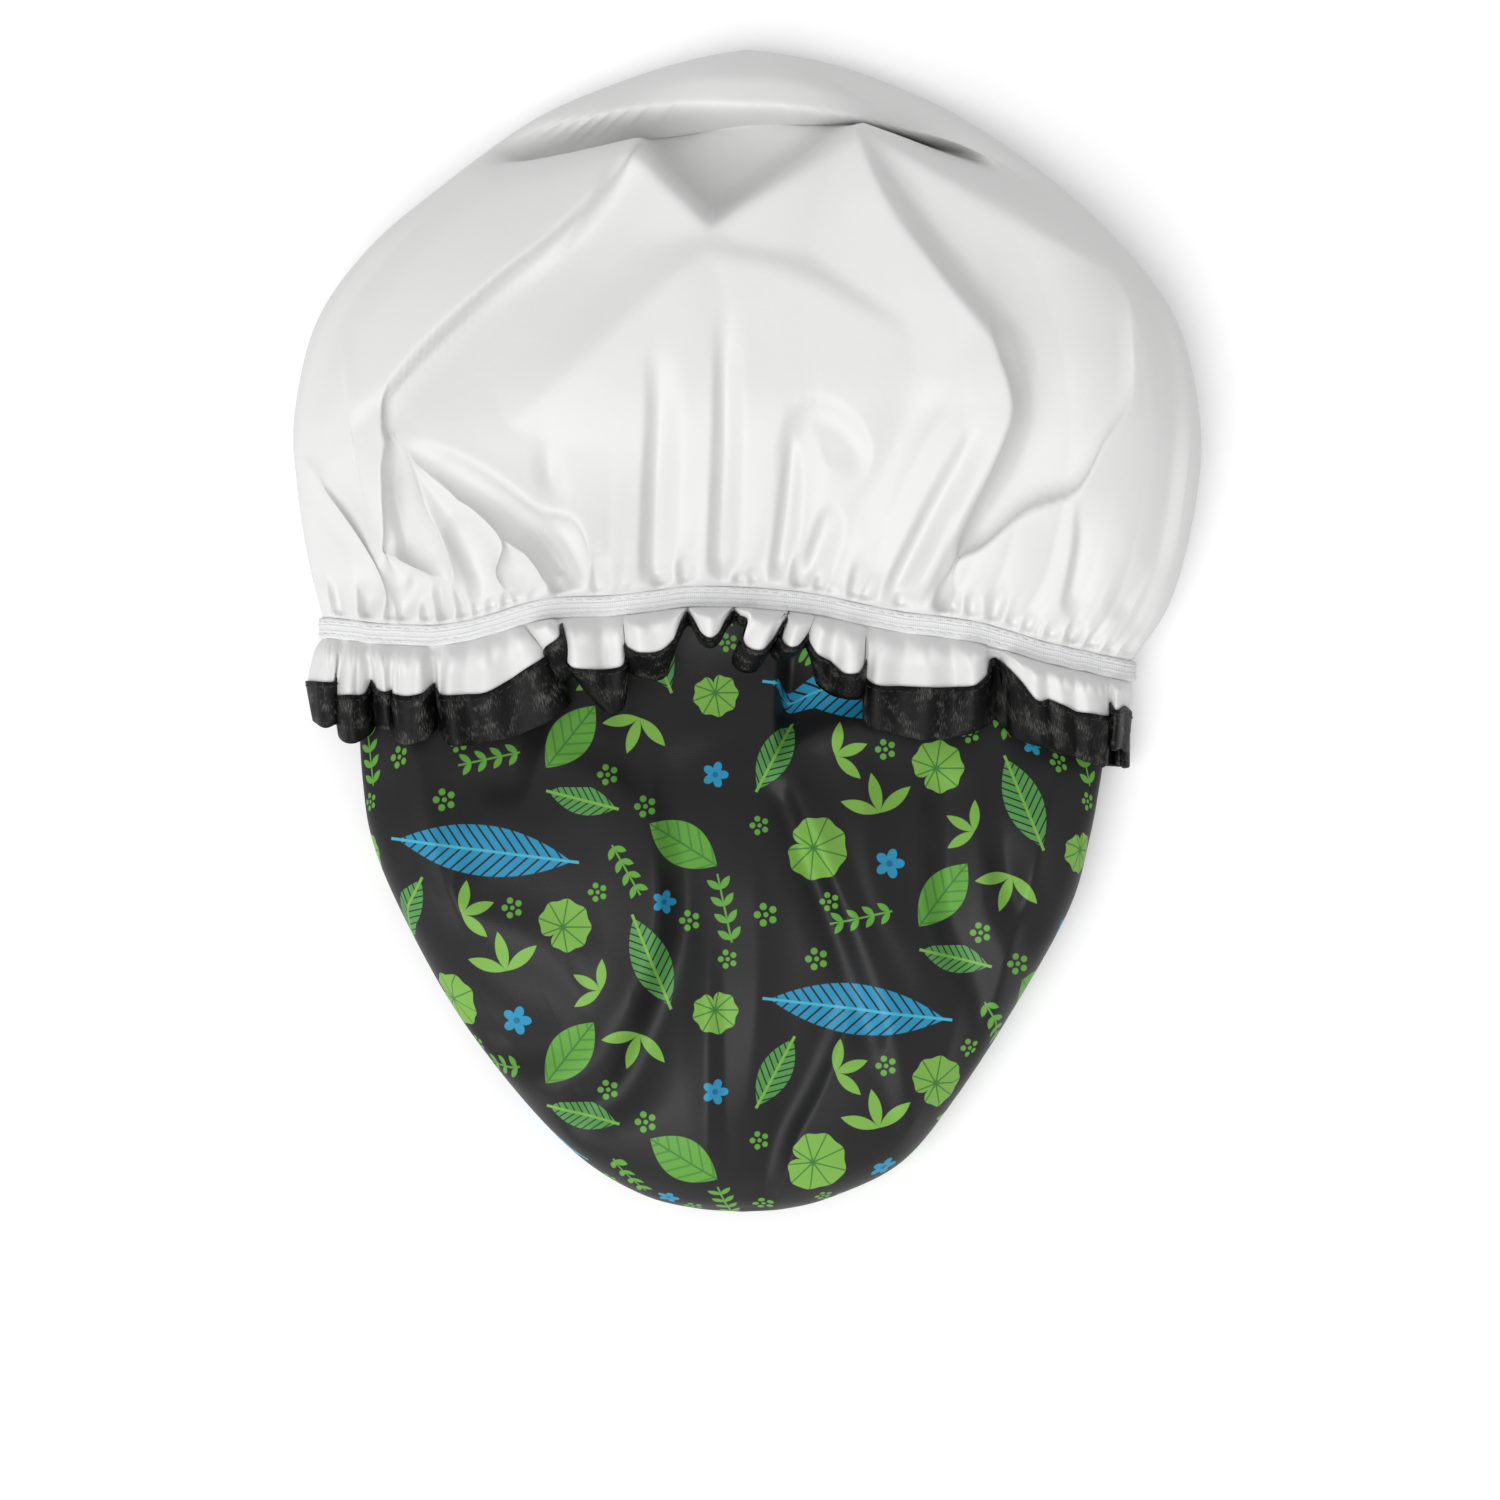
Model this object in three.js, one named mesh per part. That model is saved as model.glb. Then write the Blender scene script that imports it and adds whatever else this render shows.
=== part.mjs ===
// A double-layer shower cap, laid flat with its inner liner pulled out of the satin shell.
//
// Millimetres, +Z up, the table at z = 0. The liner's crown points to +Y, the shell's crown to -Y.
// Both discs are gathered by one elastic at the waist. Past the elastic they go on together as the
// frill, which is turned down over the shell, and a binding closes the frill's edge.

import * as THREE from 'three';

// Cloth and clearances
const FILM_WALL = 0.8;
const SATIN_WALL = 0.8;
const CLEARANCE = 0.3;
const FOLD_GAP = 0.9;

// Waist, where the elastic gathers both discs
const WAIST_HALF_WIDTH = 129.5;
const WAIST_CENTRE_X = -6.25;
const WAIST_ARCH = 10.4;
const WAIST_FRONT_HEIGHT = 31;
const WAIST_SIDE_HEIGHT = 10;
const WAIST_BACK_HEIGHT = 3.2;

// Liner bag above the waist
const LINER_HALF_WIDTH = 145;
const LINER_REACH = 186.3;
const LINER_DEPTH = 58;

// Shell bag below the waist
const SHELL_HALF_WIDTH = 118;
const SHELL_CENTRE_X = -5;
const SHELL_REACH = 186.3;
const SHELL_DEPTH = 42;

// Elastic tape
const ELASTIC_WIDTH = 6.5;
const ELASTIC_THICKNESS = 1.2;

// Frill and the binding on its edge
const FRILL_DEPTH = 34;
const FRILL_LIFT = 8;
const FRILL_BACK_SINK = 1;
const FRONT_WAVE = 4.4;
const BACK_WAVE = 1.1;
const HEM_DEPTH = 14;
const HEM_WALL = 0.8;

// Sewing thread
const THREAD_RADIUS = 0.3;
const STITCH_INSET = 1.4;
const HEM_STITCH_INSET = 2;
const TACK_WIDTH = 3;
const TACK_LENGTH = 5;
const TACK_THICKNESS = 0.5;

// Folds and gathers of the two bags
const GATHER_HEIGHT = 5;
const GATHER_REACH = 34;
const GATHER_START = 5;
const FOLD_HEIGHT = 10;
const SHELL_FOLD_HEIGHT = 8;
const FOLD_SPREAD = 40;
const FOLD_ROUNDING = 1;
const FOLD_START = 14;
const POCKET_EDGE = 12;

// Counts
const FRONT_WAVES = 13;
const BACK_WAVES = 8;
const STEPS_PER_WAVE = 4;
const FRONT_GATHERS = 10;
const BAG_FRONT_STEPS = 36;
const BAG_BACK_STEPS = 10;
const NECK_ROWS = 2;

// Seam line at the front: share of the waist's half width, then share of the waist's arch
const SEAM_LINE_SHARES = [
  [-1, 0.08], [-0.8, -0.16], [-0.65, -0.08], [-0.45, 0.6], [-0.26, 0.74], [-0.06, 1],
  [0.18, 0.82], [0.41, 0.26], [0.61, -0.08], [0.8, -0.75], [1, -1.25],
];

// Rows of the liner from waist to crown, after the waist itself. Left and right edge as shares of
// half width and reach, then the edge, top and back heights as shares of the depth. The first row
// takes its half width from the waist, the second takes the mean, and the others the bag's own.
const LINER_ROW_SHARES = [
  [[-1.083, 0.12], [1.05, 0.055], [0.2, 0.74, 0]],
  [[-1.05, 0.25], [1.05, 0.23], [0.22, 0.92, 0]],
  [[-1, 0.37], [1, 0.37], [0.22, 1, 0]],
  [[-0.95, 0.53], [0.95, 0.53], [0.22, 0.98, 0]],
  [[-0.83, 0.66], [0.83, 0.66], [0.21, 0.92, 0]],
  [[-0.67, 0.765], [0.68, 0.77], [0.2, 0.82, 0]],
  [[-0.47, 0.88], [0.48, 0.88], [0.19, 0.64, 0.01]],
  [[-0.26, 0.95], [0.27, 0.955], [0.17, 0.44, 0.03]],
  [[-0.11, 0.985], [0.12, 0.987], [0.16, 0.3, 0.07]],
];
const LINER_TIP_SHARES = [0, 1, 0.16];

// Rows of the shell from waist to crown, in the same way
const SHELL_ROW_SHARES = [
  [[-0.93, 0.11], [0.94, 0.135], [0.32, 0.6, 0.22]],
  [[-0.954, 0.25], [0.954, 0.26], [0.32, 0.68, 0.21]],
  [[-0.975, 0.355], [0.97, 0.36], [0.3, 0.9, 0]],
  [[-0.9, 0.475], [0.915, 0.48], [0.28, 1, 0]],
  [[-0.75, 0.65], [0.76, 0.655], [0.26, 0.98, 0]],
  [[-0.565, 0.805], [0.6, 0.81], [0.24, 0.86, 0]],
  [[-0.4, 0.91], [0.46, 0.915], [0.22, 0.68, 0.01]],
  [[-0.24, 0.97], [0.28, 0.972], [0.21, 0.48, 0.04]],
  [[-0.1, 0.993], [0.15, 0.994], [0.2, 0.32, 0.09]],
];
const SHELL_TIP_SHARES = [0.03, 1, 0.2];

// Where the loops of each mesh lie between waist and tip, closer together at the liner's pocket
const LINER_LOOP_SHARES = [0, 0.09, 0.15, 0.225, 0.31, 0.39, 0.46, 0.53, 0.59, 0.64, 0.7, 0.76, 0.84];
const SHELL_LOOP_SHARES = [0, 0.09, 0.17, 0.25, 0.33, 0.4, 0.47, 0.54, 0.61, 0.68, 0.75, 0.82, 0.9];

// Main folds of the liner. Each path point is a share of half width, of reach and of the fold's
// height, and the spread shares count to the left and to the right of the path.
const LINER_FOLD_SHARES = [
  {
    path: [[-0.23, 0.83, 0.9], [-0.29, 0.775, 1], [-0.38, 0.68, 1], [-0.54, 0.555, 0.9],
      [-0.71, 0.425, 0.8], [-0.79, 0.37, 0.5]],
    spread: [0.45, 1.3],
  },
  {
    path: [[-0.26, 0.76, -0.5], [-0.35, 0.66, -0.7], [-0.51, 0.53, -0.6], [-0.68, 0.4, -0.5],
      [-0.75, 0.355, -0.2]],
    spread: [0.9, 0.4],
  },
  { path: [[-0.23, 0.83, 0.9], [-0.165, 0.76, 0.6], [-0.07, 0.685, 0.3]], spread: [0.4, 0.6] },
  { path: [[-0.07, 0.685, 0.3], [0.055, 0.75, 0.7], [0.24, 0.855, 1.1]], spread: [0.4, 0.85] },
  {
    path: [[-0.54, 0.805, -0.3], [-0.36, 0.84, -0.8], [-0.23, 0.87, -0.8], [0, 0.91, -0.1],
      [0.245, 0.9, -0.8], [0.36, 0.865, -1.1], [0.47, 0.82, -1], [0.74, 0.735, -0.5]],
    spread: [0.65, 0.4],
  },
  {
    path: [[-0.66, 0.76, 0.1], [-0.43, 0.88, 0.4], [-0.2, 0.95, 0.6], [0.01, 0.97, 0.7],
      [0.235, 0.95, 0.6], [0.455, 0.88, 0.4], [0.66, 0.795, 0.1]],
    spread: [0.3, 0.5],
  },
  {
    path: [[0.24, 0.855, 1.1], [0.34, 0.72, 0.7], [0.41, 0.615, 0.6], [0.525, 0.5, 0.7]],
    spread: [0.65, 0.95],
  },
  {
    path: [[0.525, 0.5, 0.7], [0.575, 0.38, 0.8], [0.555, 0.29, 0.8], [0.495, 0.185, 0.7],
      [0.41, 0.035, 0.6]],
    spread: [0.4, 0.95],
  },
  {
    path: [[0.43, 0.73, -0.1], [0.525, 0.605, -0.3], [0.61, 0.5, -0.5], [0.64, 0.38, -0.8],
      [0.61, 0.285, -0.9], [0.545, 0.175, -0.9], [0.455, 0.04, -0.8]],
    spread: [0.85, 0.4],
  },
  {
    path: [[0.83, 0.62, 0.1], [0.8, 0.43, 0.3], [0.74, 0.3, 0.5], [0.61, 0.195, 0.6],
      [0.51, 0.11, 0.7], [0.485, 0.035, 0.6]],
    spread: [0.9, 0.4],
  },
  {
    path: [[-0.085, 0.63, 0.4], [-0.17, 0.58, 0.45], [-0.335, 0.46, 0.35], [-0.53, 0.33, 0.1]],
    spread: [0.85, 0.4],
  },
  {
    path: [[-0.085, 0.63, 0.4], [0.08, 0.6, 0.3], [0.33, 0.51, 0.25], [0.52, 0.495, 0.1]],
    spread: [0.3, 0.85],
  },
  {
    path: [[0.24, 0.855, 0.8], [0.455, 0.75, 0.4], [0.68, 0.655, 0.4], [0.81, 0.61, 0.2]],
    spread: [0.3, 0.55],
  },
  { path: [[-0.79, 0.37, 0.5], [-0.8, 0.28, 0.5], [-0.785, 0.12, 0.3]], spread: [0.35, 0.55] },
  {
    path: [[-0.785, 0.36, 0.5], [-0.72, 0.28, 0.6], [-0.65, 0.16, 0.5], [-0.6, 0.055, 0.4]],
    spread: [0.4, 0.35],
  },
  {
    path: [[-0.775, 0.355, 0.4], [-0.65, 0.28, 0.5], [-0.53, 0.205, 0.6], [-0.445, 0.1, 0.5]],
    spread: [0.4, 0.25],
  },
];

// Pocket that opens behind the liner's front: a bowl, given by its middle, half width, half height
// and depth, that is cut off at the rim. All are shares of half width, reach and the bag's depth.
const LINER_POCKET_SHARES = {
  middle: [-0.035, 0.768],
  size: [0.5, 0.215],
  depth: 0.33,
  rim: [[-0.54, 0.805], [-0.232, 0.837], [-0.166, 0.773], [-0.07, 0.696], [0.055, 0.764],
    [0.242, 0.866], [0.74, 0.735]],
};

// Main folds of the shell, in the same way as the liner's
const SHELL_FOLD_SHARES = [
  {
    path: [[-0.49, 0.22, 0.25], [-0.26, 0.29, 0.5], [-0.19, 0.455, 0.6], [-0.22, 0.58, 0.6],
      [-0.375, 0.715, 0.4], [-0.56, 0.79, 0.2]],
    spread: [0.45, 0.5],
  },
  {
    path: [[-0.135, 0.255, -0.4], [-0.12, 0.455, -0.6], [-0.15, 0.58, -0.75], [-0.26, 0.76, -0.8],
      [-0.365, 0.815, -0.6]],
    spread: [0.45, 0.45],
  },
  {
    path: [[0.15, 0.215, 0.9], [0.195, 0.18, 0.9], [0.365, 0.16, 0.6], [0.515, 0.16, 0.25]],
    spread: [0.2, 0.5],
  },
  {
    path: [[0.15, 0.215, 0.6], [0.18, 0.28, 0.6], [0.31, 0.49, 0.6], [0.435, 0.715, 0.5],
      [0.48, 0.85, 0.4]],
    spread: [0.35, 0.3],
  },
  {
    path: [[0.28, 0.62, -0.25], [0.195, 0.76, -0.6], [0.125, 0.85, -0.75], [0.08, 0.945, -0.5]],
    spread: [0.35, 0.65],
  },
  {
    path: [[0.58, 0.29, -0.5], [0.595, 0.49, -0.75], [0.68, 0.635, -0.6], [0.65, 0.75, -0.4]],
    spread: [0.3, 0.25],
  },
  { path: [[0.88, 0.245, 0.25], [0.795, 0.455, 0.5], [0.695, 0.67, 0.4]], spread: [0.25, 0.3] },
  { path: [[-0.655, 0.32, 0.4], [-0.735, 0.38, 0.6], [-0.755, 0.445, 0.9]], spread: [0.2, 0.35] },
  { path: [[-0.755, 0.445, 0.9], [-0.805, 0.345, 0.5], [-0.875, 0.17, 0.25]], spread: [0.25, 0.3] },
  {
    path: [[-0.755, 0.445, 0.9], [-0.72, 0.49, 0.75], [-0.59, 0.515, 0.6], [-0.405, 0.56, 0.25]],
    spread: [0.4, 0.25],
  },
  {
    path: [[-0.78, 0.635, -0.6], [-0.635, 0.685, -0.7], [-0.465, 0.7, -0.6], [-0.38, 0.655, -0.4]],
    spread: [0.4, 0.35],
  },
];

// Shares that shape the loops
const ROUND_SIDE_SHARE = 0.8;
const FLAT_BACK_SHARE = 0.7;
const BACK_REACH_SHARE = 1.25;
const ARCH_FADE_SHARE = 0.45;
const CENTRE_FRILL_SHARE = 0.42;
const CENTRE_SPAN_SHARE = 0.3;
const WAVE_DRIFT_SHARE = 0.16;
const SHELL_SEAM_INSET_SHARE = 0.3;
const FOLD_FALL_SHARE = 1.7;
const POCKET_FALL_SHARE = 1.2;
const TIP_FADE_SHARE = 0.12;
const SIDE_FADE_SHARE = 0.5;
const MIDDLE_CROWD_SHARE = 0.12;

// Depths of the layers at the waist, counted outwards from the middle of the liner film
const ELASTIC_UNDERSIDE = FILM_WALL / 2 + CLEARANCE;
const ELASTIC_FACE = ELASTIC_UNDERSIDE + ELASTIC_THICKNESS;
const SATIN_LEVEL = -(FILM_WALL / 2 + CLEARANCE + SATIN_WALL / 2);
const SHELL_LEVEL = SATIN_LEVEL - SATIN_WALL - FOLD_GAP;
const HEM_UNDERSIDE = FILM_WALL / 2 + CLEARANCE;
const HEM_FACE = HEM_UNDERSIDE + HEM_WALL;
const HEM_INNER_BACK = SATIN_LEVEL - SATIN_WALL / 2 - CLEARANCE;
const HEM_OUTER_BACK = HEM_INNER_BACK - HEM_WALL;
const HEM_TOP = FRILL_DEPTH - HEM_DEPTH;

// A number between two others
function mix(from, to, share) {
  return from + (to - from) * share;
}

// Smooth change from 0 to 1 between two limits
function smooth(low, high, value) {
  const share = Math.min(1, Math.max(0, (value - low) / (high - low)));
  return share * share * (3 - 2 * share);
}

// Height of the seam above the straight line between its ends, as a share of the arch
const seamCurve = new THREE.CatmullRomCurve3(SEAM_LINE_SHARES.map(([x, y]) => new THREE.Vector3(x, y, 0)));

function seamShareAt(xShare) {
  let low = 0;
  let high = 1;
  while (high - low > Number.EPSILON * SEAM_LINE_SHARES.length) {
    const middle = (low + high) / 2;
    if (seamCurve.getPoint(middle).x < xShare) low = middle;
    else high = middle;
  }
  return seamCurve.getPoint(low).y;
}

const LEFT_SEAM_SHARE = SEAM_LINE_SHARES[0][1];
const RIGHT_SEAM_SHARE = SEAM_LINE_SHARES[SEAM_LINE_SHARES.length - 1][1];

function archAt(across) {
  const straight = mix(LEFT_SEAM_SHARE, RIGHT_SEAM_SHARE, across);
  return (seamShareAt(2 * across - 1) - straight) * WAIST_ARCH;
}

// Point of one closed loop round a flattened bag. The turn goes from the right edge over the
// front to the left edge, and back underneath.
function loopPoint(left, right, heights, arch, turn) {
  const across = (1 + Math.cos(turn)) / 2;
  const rise = Math.sin(turn);
  const edge = left.clone().lerp(right, across);
  if (rise >= 0) {
    edge.z += (heights.top - edge.z) * rise ** ROUND_SIDE_SHARE;
    edge.y += arch * archAt(across) * smooth(0, 1, 2 * rise);
  } else {
    edge.z -= (edge.z - heights.back) * Math.min(1, BACK_REACH_SHARE * (-rise) ** FLAT_BACK_SHARE);
  }
  return edge;
}

// The waist loop, on the middle of the liner film, drawn in by a depth and moved along y
function waistEnds(inset, shift) {
  const left = new THREE.Vector3(
    WAIST_CENTRE_X - WAIST_HALF_WIDTH + inset, LEFT_SEAM_SHARE * WAIST_ARCH + shift, WAIST_SIDE_HEIGHT);
  const right = new THREE.Vector3(
    WAIST_CENTRE_X + WAIST_HALF_WIDTH - inset, RIGHT_SEAM_SHARE * WAIST_ARCH + shift, WAIST_SIDE_HEIGHT);
  const heights = { top: WAIST_FRONT_HEIGHT - inset, back: WAIST_BACK_HEIGHT + inset };
  return { left, right, heights };
}

function waistPoint(turn) {
  const { left, right, heights } = waistEnds(0, 0);
  return loopPoint(left, right, heights, 1, turn);
}

// Outward direction of the waist loop, square to it and to y
function waistOutward(turn) {
  const step = Math.PI / (FRONT_WAVES * STEPS_PER_WAVE);
  const along = waistPoint(turn + step).sub(waistPoint(turn - step));
  return new THREE.Vector3(along.z, 0, -along.x).normalize();
}

// Turns of the columns, front half and back half. Crowding brings the front columns nearer together
// in the middle.
function columnTurns(frontSteps, backSteps, crowding) {
  const turns = [];
  for (let i = 0; i < frontSteps; i += 1) {
    const share = i / frontSteps;
    turns.push(Math.PI * share + crowding * Math.sin(2 * Math.PI * share));
  }
  for (let i = 0; i < backSteps; i += 1) turns.push(Math.PI * (1 + i / backSteps));
  return turns;
}

// Height of one fold at a point: full along its path, fading to each side over the fold's spread
function foldAt(fold, x, y) {
  let nearest = Infinity;
  let height = 0;
  let side = 0;
  for (let i = 0; i + 1 < fold.path.length; i += 1) {
    const from = fold.path[i];
    const to = fold.path[i + 1];
    const run = new THREE.Vector2(to.x - from.x, to.y - from.y);
    const offset = new THREE.Vector2(x - from.x, y - from.y);
    const share = Math.min(1, Math.max(0, offset.dot(run) / run.lengthSq()));
    const distance = offset.clone().addScaledVector(run, -share).length();
    if (distance < nearest) {
      nearest = distance;
      height = mix(from.z, to.z, share);
      side = run.cross(offset) / run.length() / Math.max(distance, FOLD_ROUNDING);
    }
  }
  const spread = mix(fold.right, fold.left, (1 + side) / 2);
  return height * Math.max(0, 1 - nearest / spread) ** FOLD_FALL_SHARE;
}

// Height that the folds add at a point: the highest ridge and the deepest valley count
function foldHeight(folds, x, y) {
  const heights = folds.map((fold) => foldAt(fold, x, y));
  return Math.max(0, ...heights) + Math.min(0, ...heights);
}

// Height of a line of points at a place across
function lineAt(line, x) {
  const next = line.findIndex((point) => point.x > x);
  if (next < 1) return line[next < 0 ? line.length - 1 : 0].y;
  const from = line[next - 1];
  const to = line[next];
  return mix(from.y, to.y, (x - from.x) / (to.x - from.x));
}

// Depth of the pocket at a point
function pocketDepth(pocket, x, y) {
  const away = ((x - pocket.middle.x) / pocket.size.x) ** 2 + ((y - pocket.middle.y) / pocket.size.y) ** 2;
  const cut = smooth(0, POCKET_EDGE, y - lineAt(pocket.rim, x));
  return pocket.depth * Math.max(0, 1 - away) ** POCKET_FALL_SHARE * cut;
}

// Height of the gathers that fan out from the elastic
function gatherHeight(turn, distance) {
  const wave = Math.cos(2 * FRONT_GATHERS * (turn + WAVE_DRIFT_SHARE * Math.sin(3 * turn)));
  const swell = (1 - Math.exp(-distance / GATHER_START)) * Math.exp(-distance / GATHER_REACH);
  return GATHER_HEIGHT * wave * swell;
}

// Folds of a bag in real sizes
function realFolds(bag) {
  return bag.folds.map(({ path, spread: [left, right] }) => ({
    path: path.map(([x, y, height]) => new THREE.Vector3(
      bag.centreX + x * bag.halfWidth, bag.direction * y * bag.reach, height * bag.foldHeight)),
    left: left * FOLD_SPREAD,
    right: right * FOLD_SPREAD,
  }));
}

// Pocket of a bag in real sizes
function realPocket(bag) {
  const place = ([x, y]) => new THREE.Vector2(x * bag.halfWidth, y * bag.reach);
  return {
    middle: place(bag.pocket.middle),
    size: place(bag.pocket.size),
    depth: bag.pocket.depth * bag.depth,
    rim: bag.pocket.rim.map(place),
  };
}

// Curves along a bag from the waist to its tip: the left edge, the right edge, and the heights of
// the front and the back
function bagCurves(bag, tip) {
  const waist = waistEnds(bag.inset, bag.direction * bag.start);
  const back = (share) => bag.wall / 2 + share * bag.depth;
  const rows = bag.rows.map(([left, right, [edge, top, under]], i) => {
    const halfWidth = mix(WAIST_HALF_WIDTH, bag.halfWidth, Math.min(1, i / NECK_ROWS));
    const spot = ([x, y]) => new THREE.Vector3(
      bag.centreX + x * halfWidth, bag.direction * y * bag.reach, edge * bag.depth);
    const heights = new THREE.Vector3(top * bag.depth, back(under), 0);
    return { left: spot(left), right: spot(right), heights };
  });
  const first = new THREE.Vector3(waist.heights.top, waist.heights.back, 0);
  const last = new THREE.Vector3(tip.z, tip.z, 0);
  return {
    left: new THREE.CatmullRomCurve3([waist.left, ...rows.map((row) => row.left), tip]),
    right: new THREE.CatmullRomCurve3([waist.right, ...rows.map((row) => row.right), tip]),
    heights: new THREE.CatmullRomCurve3([first, ...rows.map((row) => row.heights), last]),
  };
}

// One bag as closed loops from the waist to its tip
function bagRows(bag) {
  const turns = columnTurns(BAG_FRONT_STEPS, BAG_BACK_STEPS, MIDDLE_CROWD_SHARE);
  const [tipX, tipY, tipHeight] = bag.tip;
  const tip = new THREE.Vector3(
    bag.centreX + tipX * bag.halfWidth, bag.direction * tipY * bag.reach, tipHeight * bag.depth);
  const curves = bagCurves(bag, tip);
  const folds = realFolds(bag);
  const pocket = bag.pocket && realPocket(bag);
  const loops = bag.loops.map((share) => {
    const level = curves.heights.getPoint(share);
    const heights = { top: level.x, back: Math.max(level.y, bag.wall / 2) };
    const arch = 1 - smooth(0, ARCH_FADE_SHARE, share);
    return turns.map((turn) => {
      const point = loopPoint(curves.left.getPoint(share), curves.right.getPoint(share), heights, arch, turn);
      const distance = Math.max(0, Math.abs(point.y - waistPoint(turn).y) - bag.start);
      const side = Math.min(1, Math.max(0, Math.sin(turn)) / SIDE_FADE_SHARE);
      const fade = side * smooth(0, TIP_FADE_SHARE, 1 - share);
      const relief = foldHeight(folds, point.x, point.y) * smooth(0, FOLD_START, distance);
      const hollow = pocket ? pocketDepth(pocket, point.x, point.y) : 0;
      point.z += fade * (bag.gathers * gatherHeight(turn, distance) + relief - hollow);
      return point;
    });
  });
  return { loops, tip };
}

// Outward normals of a grid of closed loops, with the loops' order along -y or +y
function gridNormals(loops, tip, direction) {
  const count = loops[0].length;
  return loops.map((loop, i) => loop.map((point, j) => {
    const before = loops[Math.max(0, i - 1)][j];
    const after = i + 1 < loops.length ? loops[i + 1][j] : (tip || point);
    const down = after.clone().sub(before);
    const around = loop[(j + 1) % count].clone().sub(loop[(j + count - 1) % count]);
    return down.cross(around).multiplyScalar(direction).normalize();
  }));
}

// Closed solid from a list of points and triangles, with its faces turned outwards
function solidGeometry(points, triangles) {
  const volume = triangles.reduce((sum, [a, b, c]) => (
    sum + points[a].dot(points[b].clone().cross(points[c]))), 0);
  const order = volume > 0 ? triangles : triangles.map(([a, b, c]) => [a, c, b]);
  const geometry = new THREE.BufferGeometry();
  geometry.setAttribute('position', new THREE.Float32BufferAttribute(points.flatMap((p) => p.toArray()), 3));
  geometry.setIndex(order.flat());
  geometry.computeVertexNormals();
  return geometry;
}

// Whether each cell between two loops is split along its other, shorter diagonal
function shortSplits(loops) {
  const count = loops[0].length;
  return loops.slice(0, -1).map((loop, i) => loop.map((point, j) => {
    const next = (j + 1) % count;
    return point.distanceTo(loops[i + 1][next]) > loop[next].distanceTo(loops[i + 1][j]);
  }));
}

// Cloth with a wall, from loops that end in a tip or in a second open edge
function clothGeometry(loops, normals, inner, outer, tip) {
  const count = loops[0].length;
  const splits = tip && shortSplits(loops);
  const points = [];
  const triangles = [];
  const skins = [outer, inner].map((offset) => {
    const start = points.length;
    loops.forEach((loop, i) => loop.forEach((point, j) => {
      points.push(point.clone().addScaledVector(normals[i][j], offset));
    }));
    if (tip) points.push(tip.point.clone().addScaledVector(tip.normal, offset));
    return start;
  });
  const at = (skin, i, j) => skins[skin] + i * count + (j % count);
  const strip = (a, b, c, d, split) => {
    if (split) triangles.push([a, b, d], [b, c, d]);
    else triangles.push([a, b, c], [a, c, d]);
  };
  for (let j = 0; j < count; j += 1) {
    for (let i = 0; i + 1 < loops.length; i += 1) {
      const split = splits && splits[i][j];
      strip(at(0, i, j), at(0, i, j + 1), at(0, i + 1, j + 1), at(0, i + 1, j), split);
      strip(at(1, i, j), at(1, i + 1, j), at(1, i + 1, j + 1), at(1, i, j + 1), split);
    }
    const end = loops.length - 1;
    strip(at(0, 0, j), at(1, 0, j), at(1, 0, j + 1), at(0, 0, j + 1), false);
    if (tip) {
      const size = loops.length * count;
      triangles.push([at(0, end, j), at(0, end, j + 1), skins[0] + size]);
      triangles.push([at(1, end, j), skins[1] + size, at(1, end, j + 1)]);
    } else {
      strip(at(0, end, j), at(0, end, j + 1), at(1, end, j + 1), at(1, end, j), false);
    }
  }
  return solidGeometry(points, triangles);
}

// Closed ring whose section is given as corners, each a function from column to point
function ringGeometry(columns, corners) {
  const points = [];
  const triangles = [];
  for (let j = 0; j < columns; j += 1) corners.forEach((corner) => points.push(corner(j)));
  const at = (j, k) => (j % columns) * corners.length + (k % corners.length);
  for (let j = 0; j < columns; j += 1) {
    for (let k = 0; k < corners.length; k += 1) {
      triangles.push([at(j, k), at(j + 1, k), at(j + 1, k + 1)]);
      triangles.push([at(j, k), at(j + 1, k + 1), at(j, k + 1)]);
    }
  }
  return solidGeometry(points, triangles);
}

// The frill's own grid: closed loops from the elastic's upper edge to the fold of the binding
const frillTurns = columnTurns(FRONT_WAVES * STEPS_PER_WAVE, BACK_WAVES * STEPS_PER_WAVE, 0);

function frillPoint(turn, distance) {
  const base = waistPoint(turn);
  const outward = waistOutward(turn);
  const front = smooth(-1, 1, Math.sin(turn) * 2);
  const middle = Math.exp(-(((base.x - WAIST_CENTRE_X) / (CENTRE_SPAN_SHARE * WAIST_HALF_WIDTH)) ** 2));
  const shrink = 1 - CENTRE_FRILL_SHARE * middle * smooth(0, 1, Math.sin(turn));
  const run = Math.max(0, distance - ELASTIC_WIDTH / 2) / (FRILL_DEPTH - ELASTIC_WIDTH / 2);
  const opening = Math.min(1, Math.max(0, distance - ELASTIC_WIDTH / 2) / (HEM_TOP - ELASTIC_WIDTH / 2));
  const waves = Math.sin(turn) >= 0 ? FRONT_WAVES : BACK_WAVES;
  const wave = Math.sin(2 * waves * (turn + WAVE_DRIFT_SHARE / waves * Math.sin(4 * turn)));
  const lift = mix(-FRILL_BACK_SINK, FRILL_LIFT, front) * Math.sqrt(run);
  const swing = mix(BACK_WAVE, FRONT_WAVE, front) * opening ** ROUND_SIDE_SHARE * wave;
  base.y -= Math.min(distance, ELASTIC_WIDTH / 2);
  base.y -= Math.max(0, distance - ELASTIC_WIDTH / 2) * shrink;
  return base.addScaledVector(outward, lift + swing);
}

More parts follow.
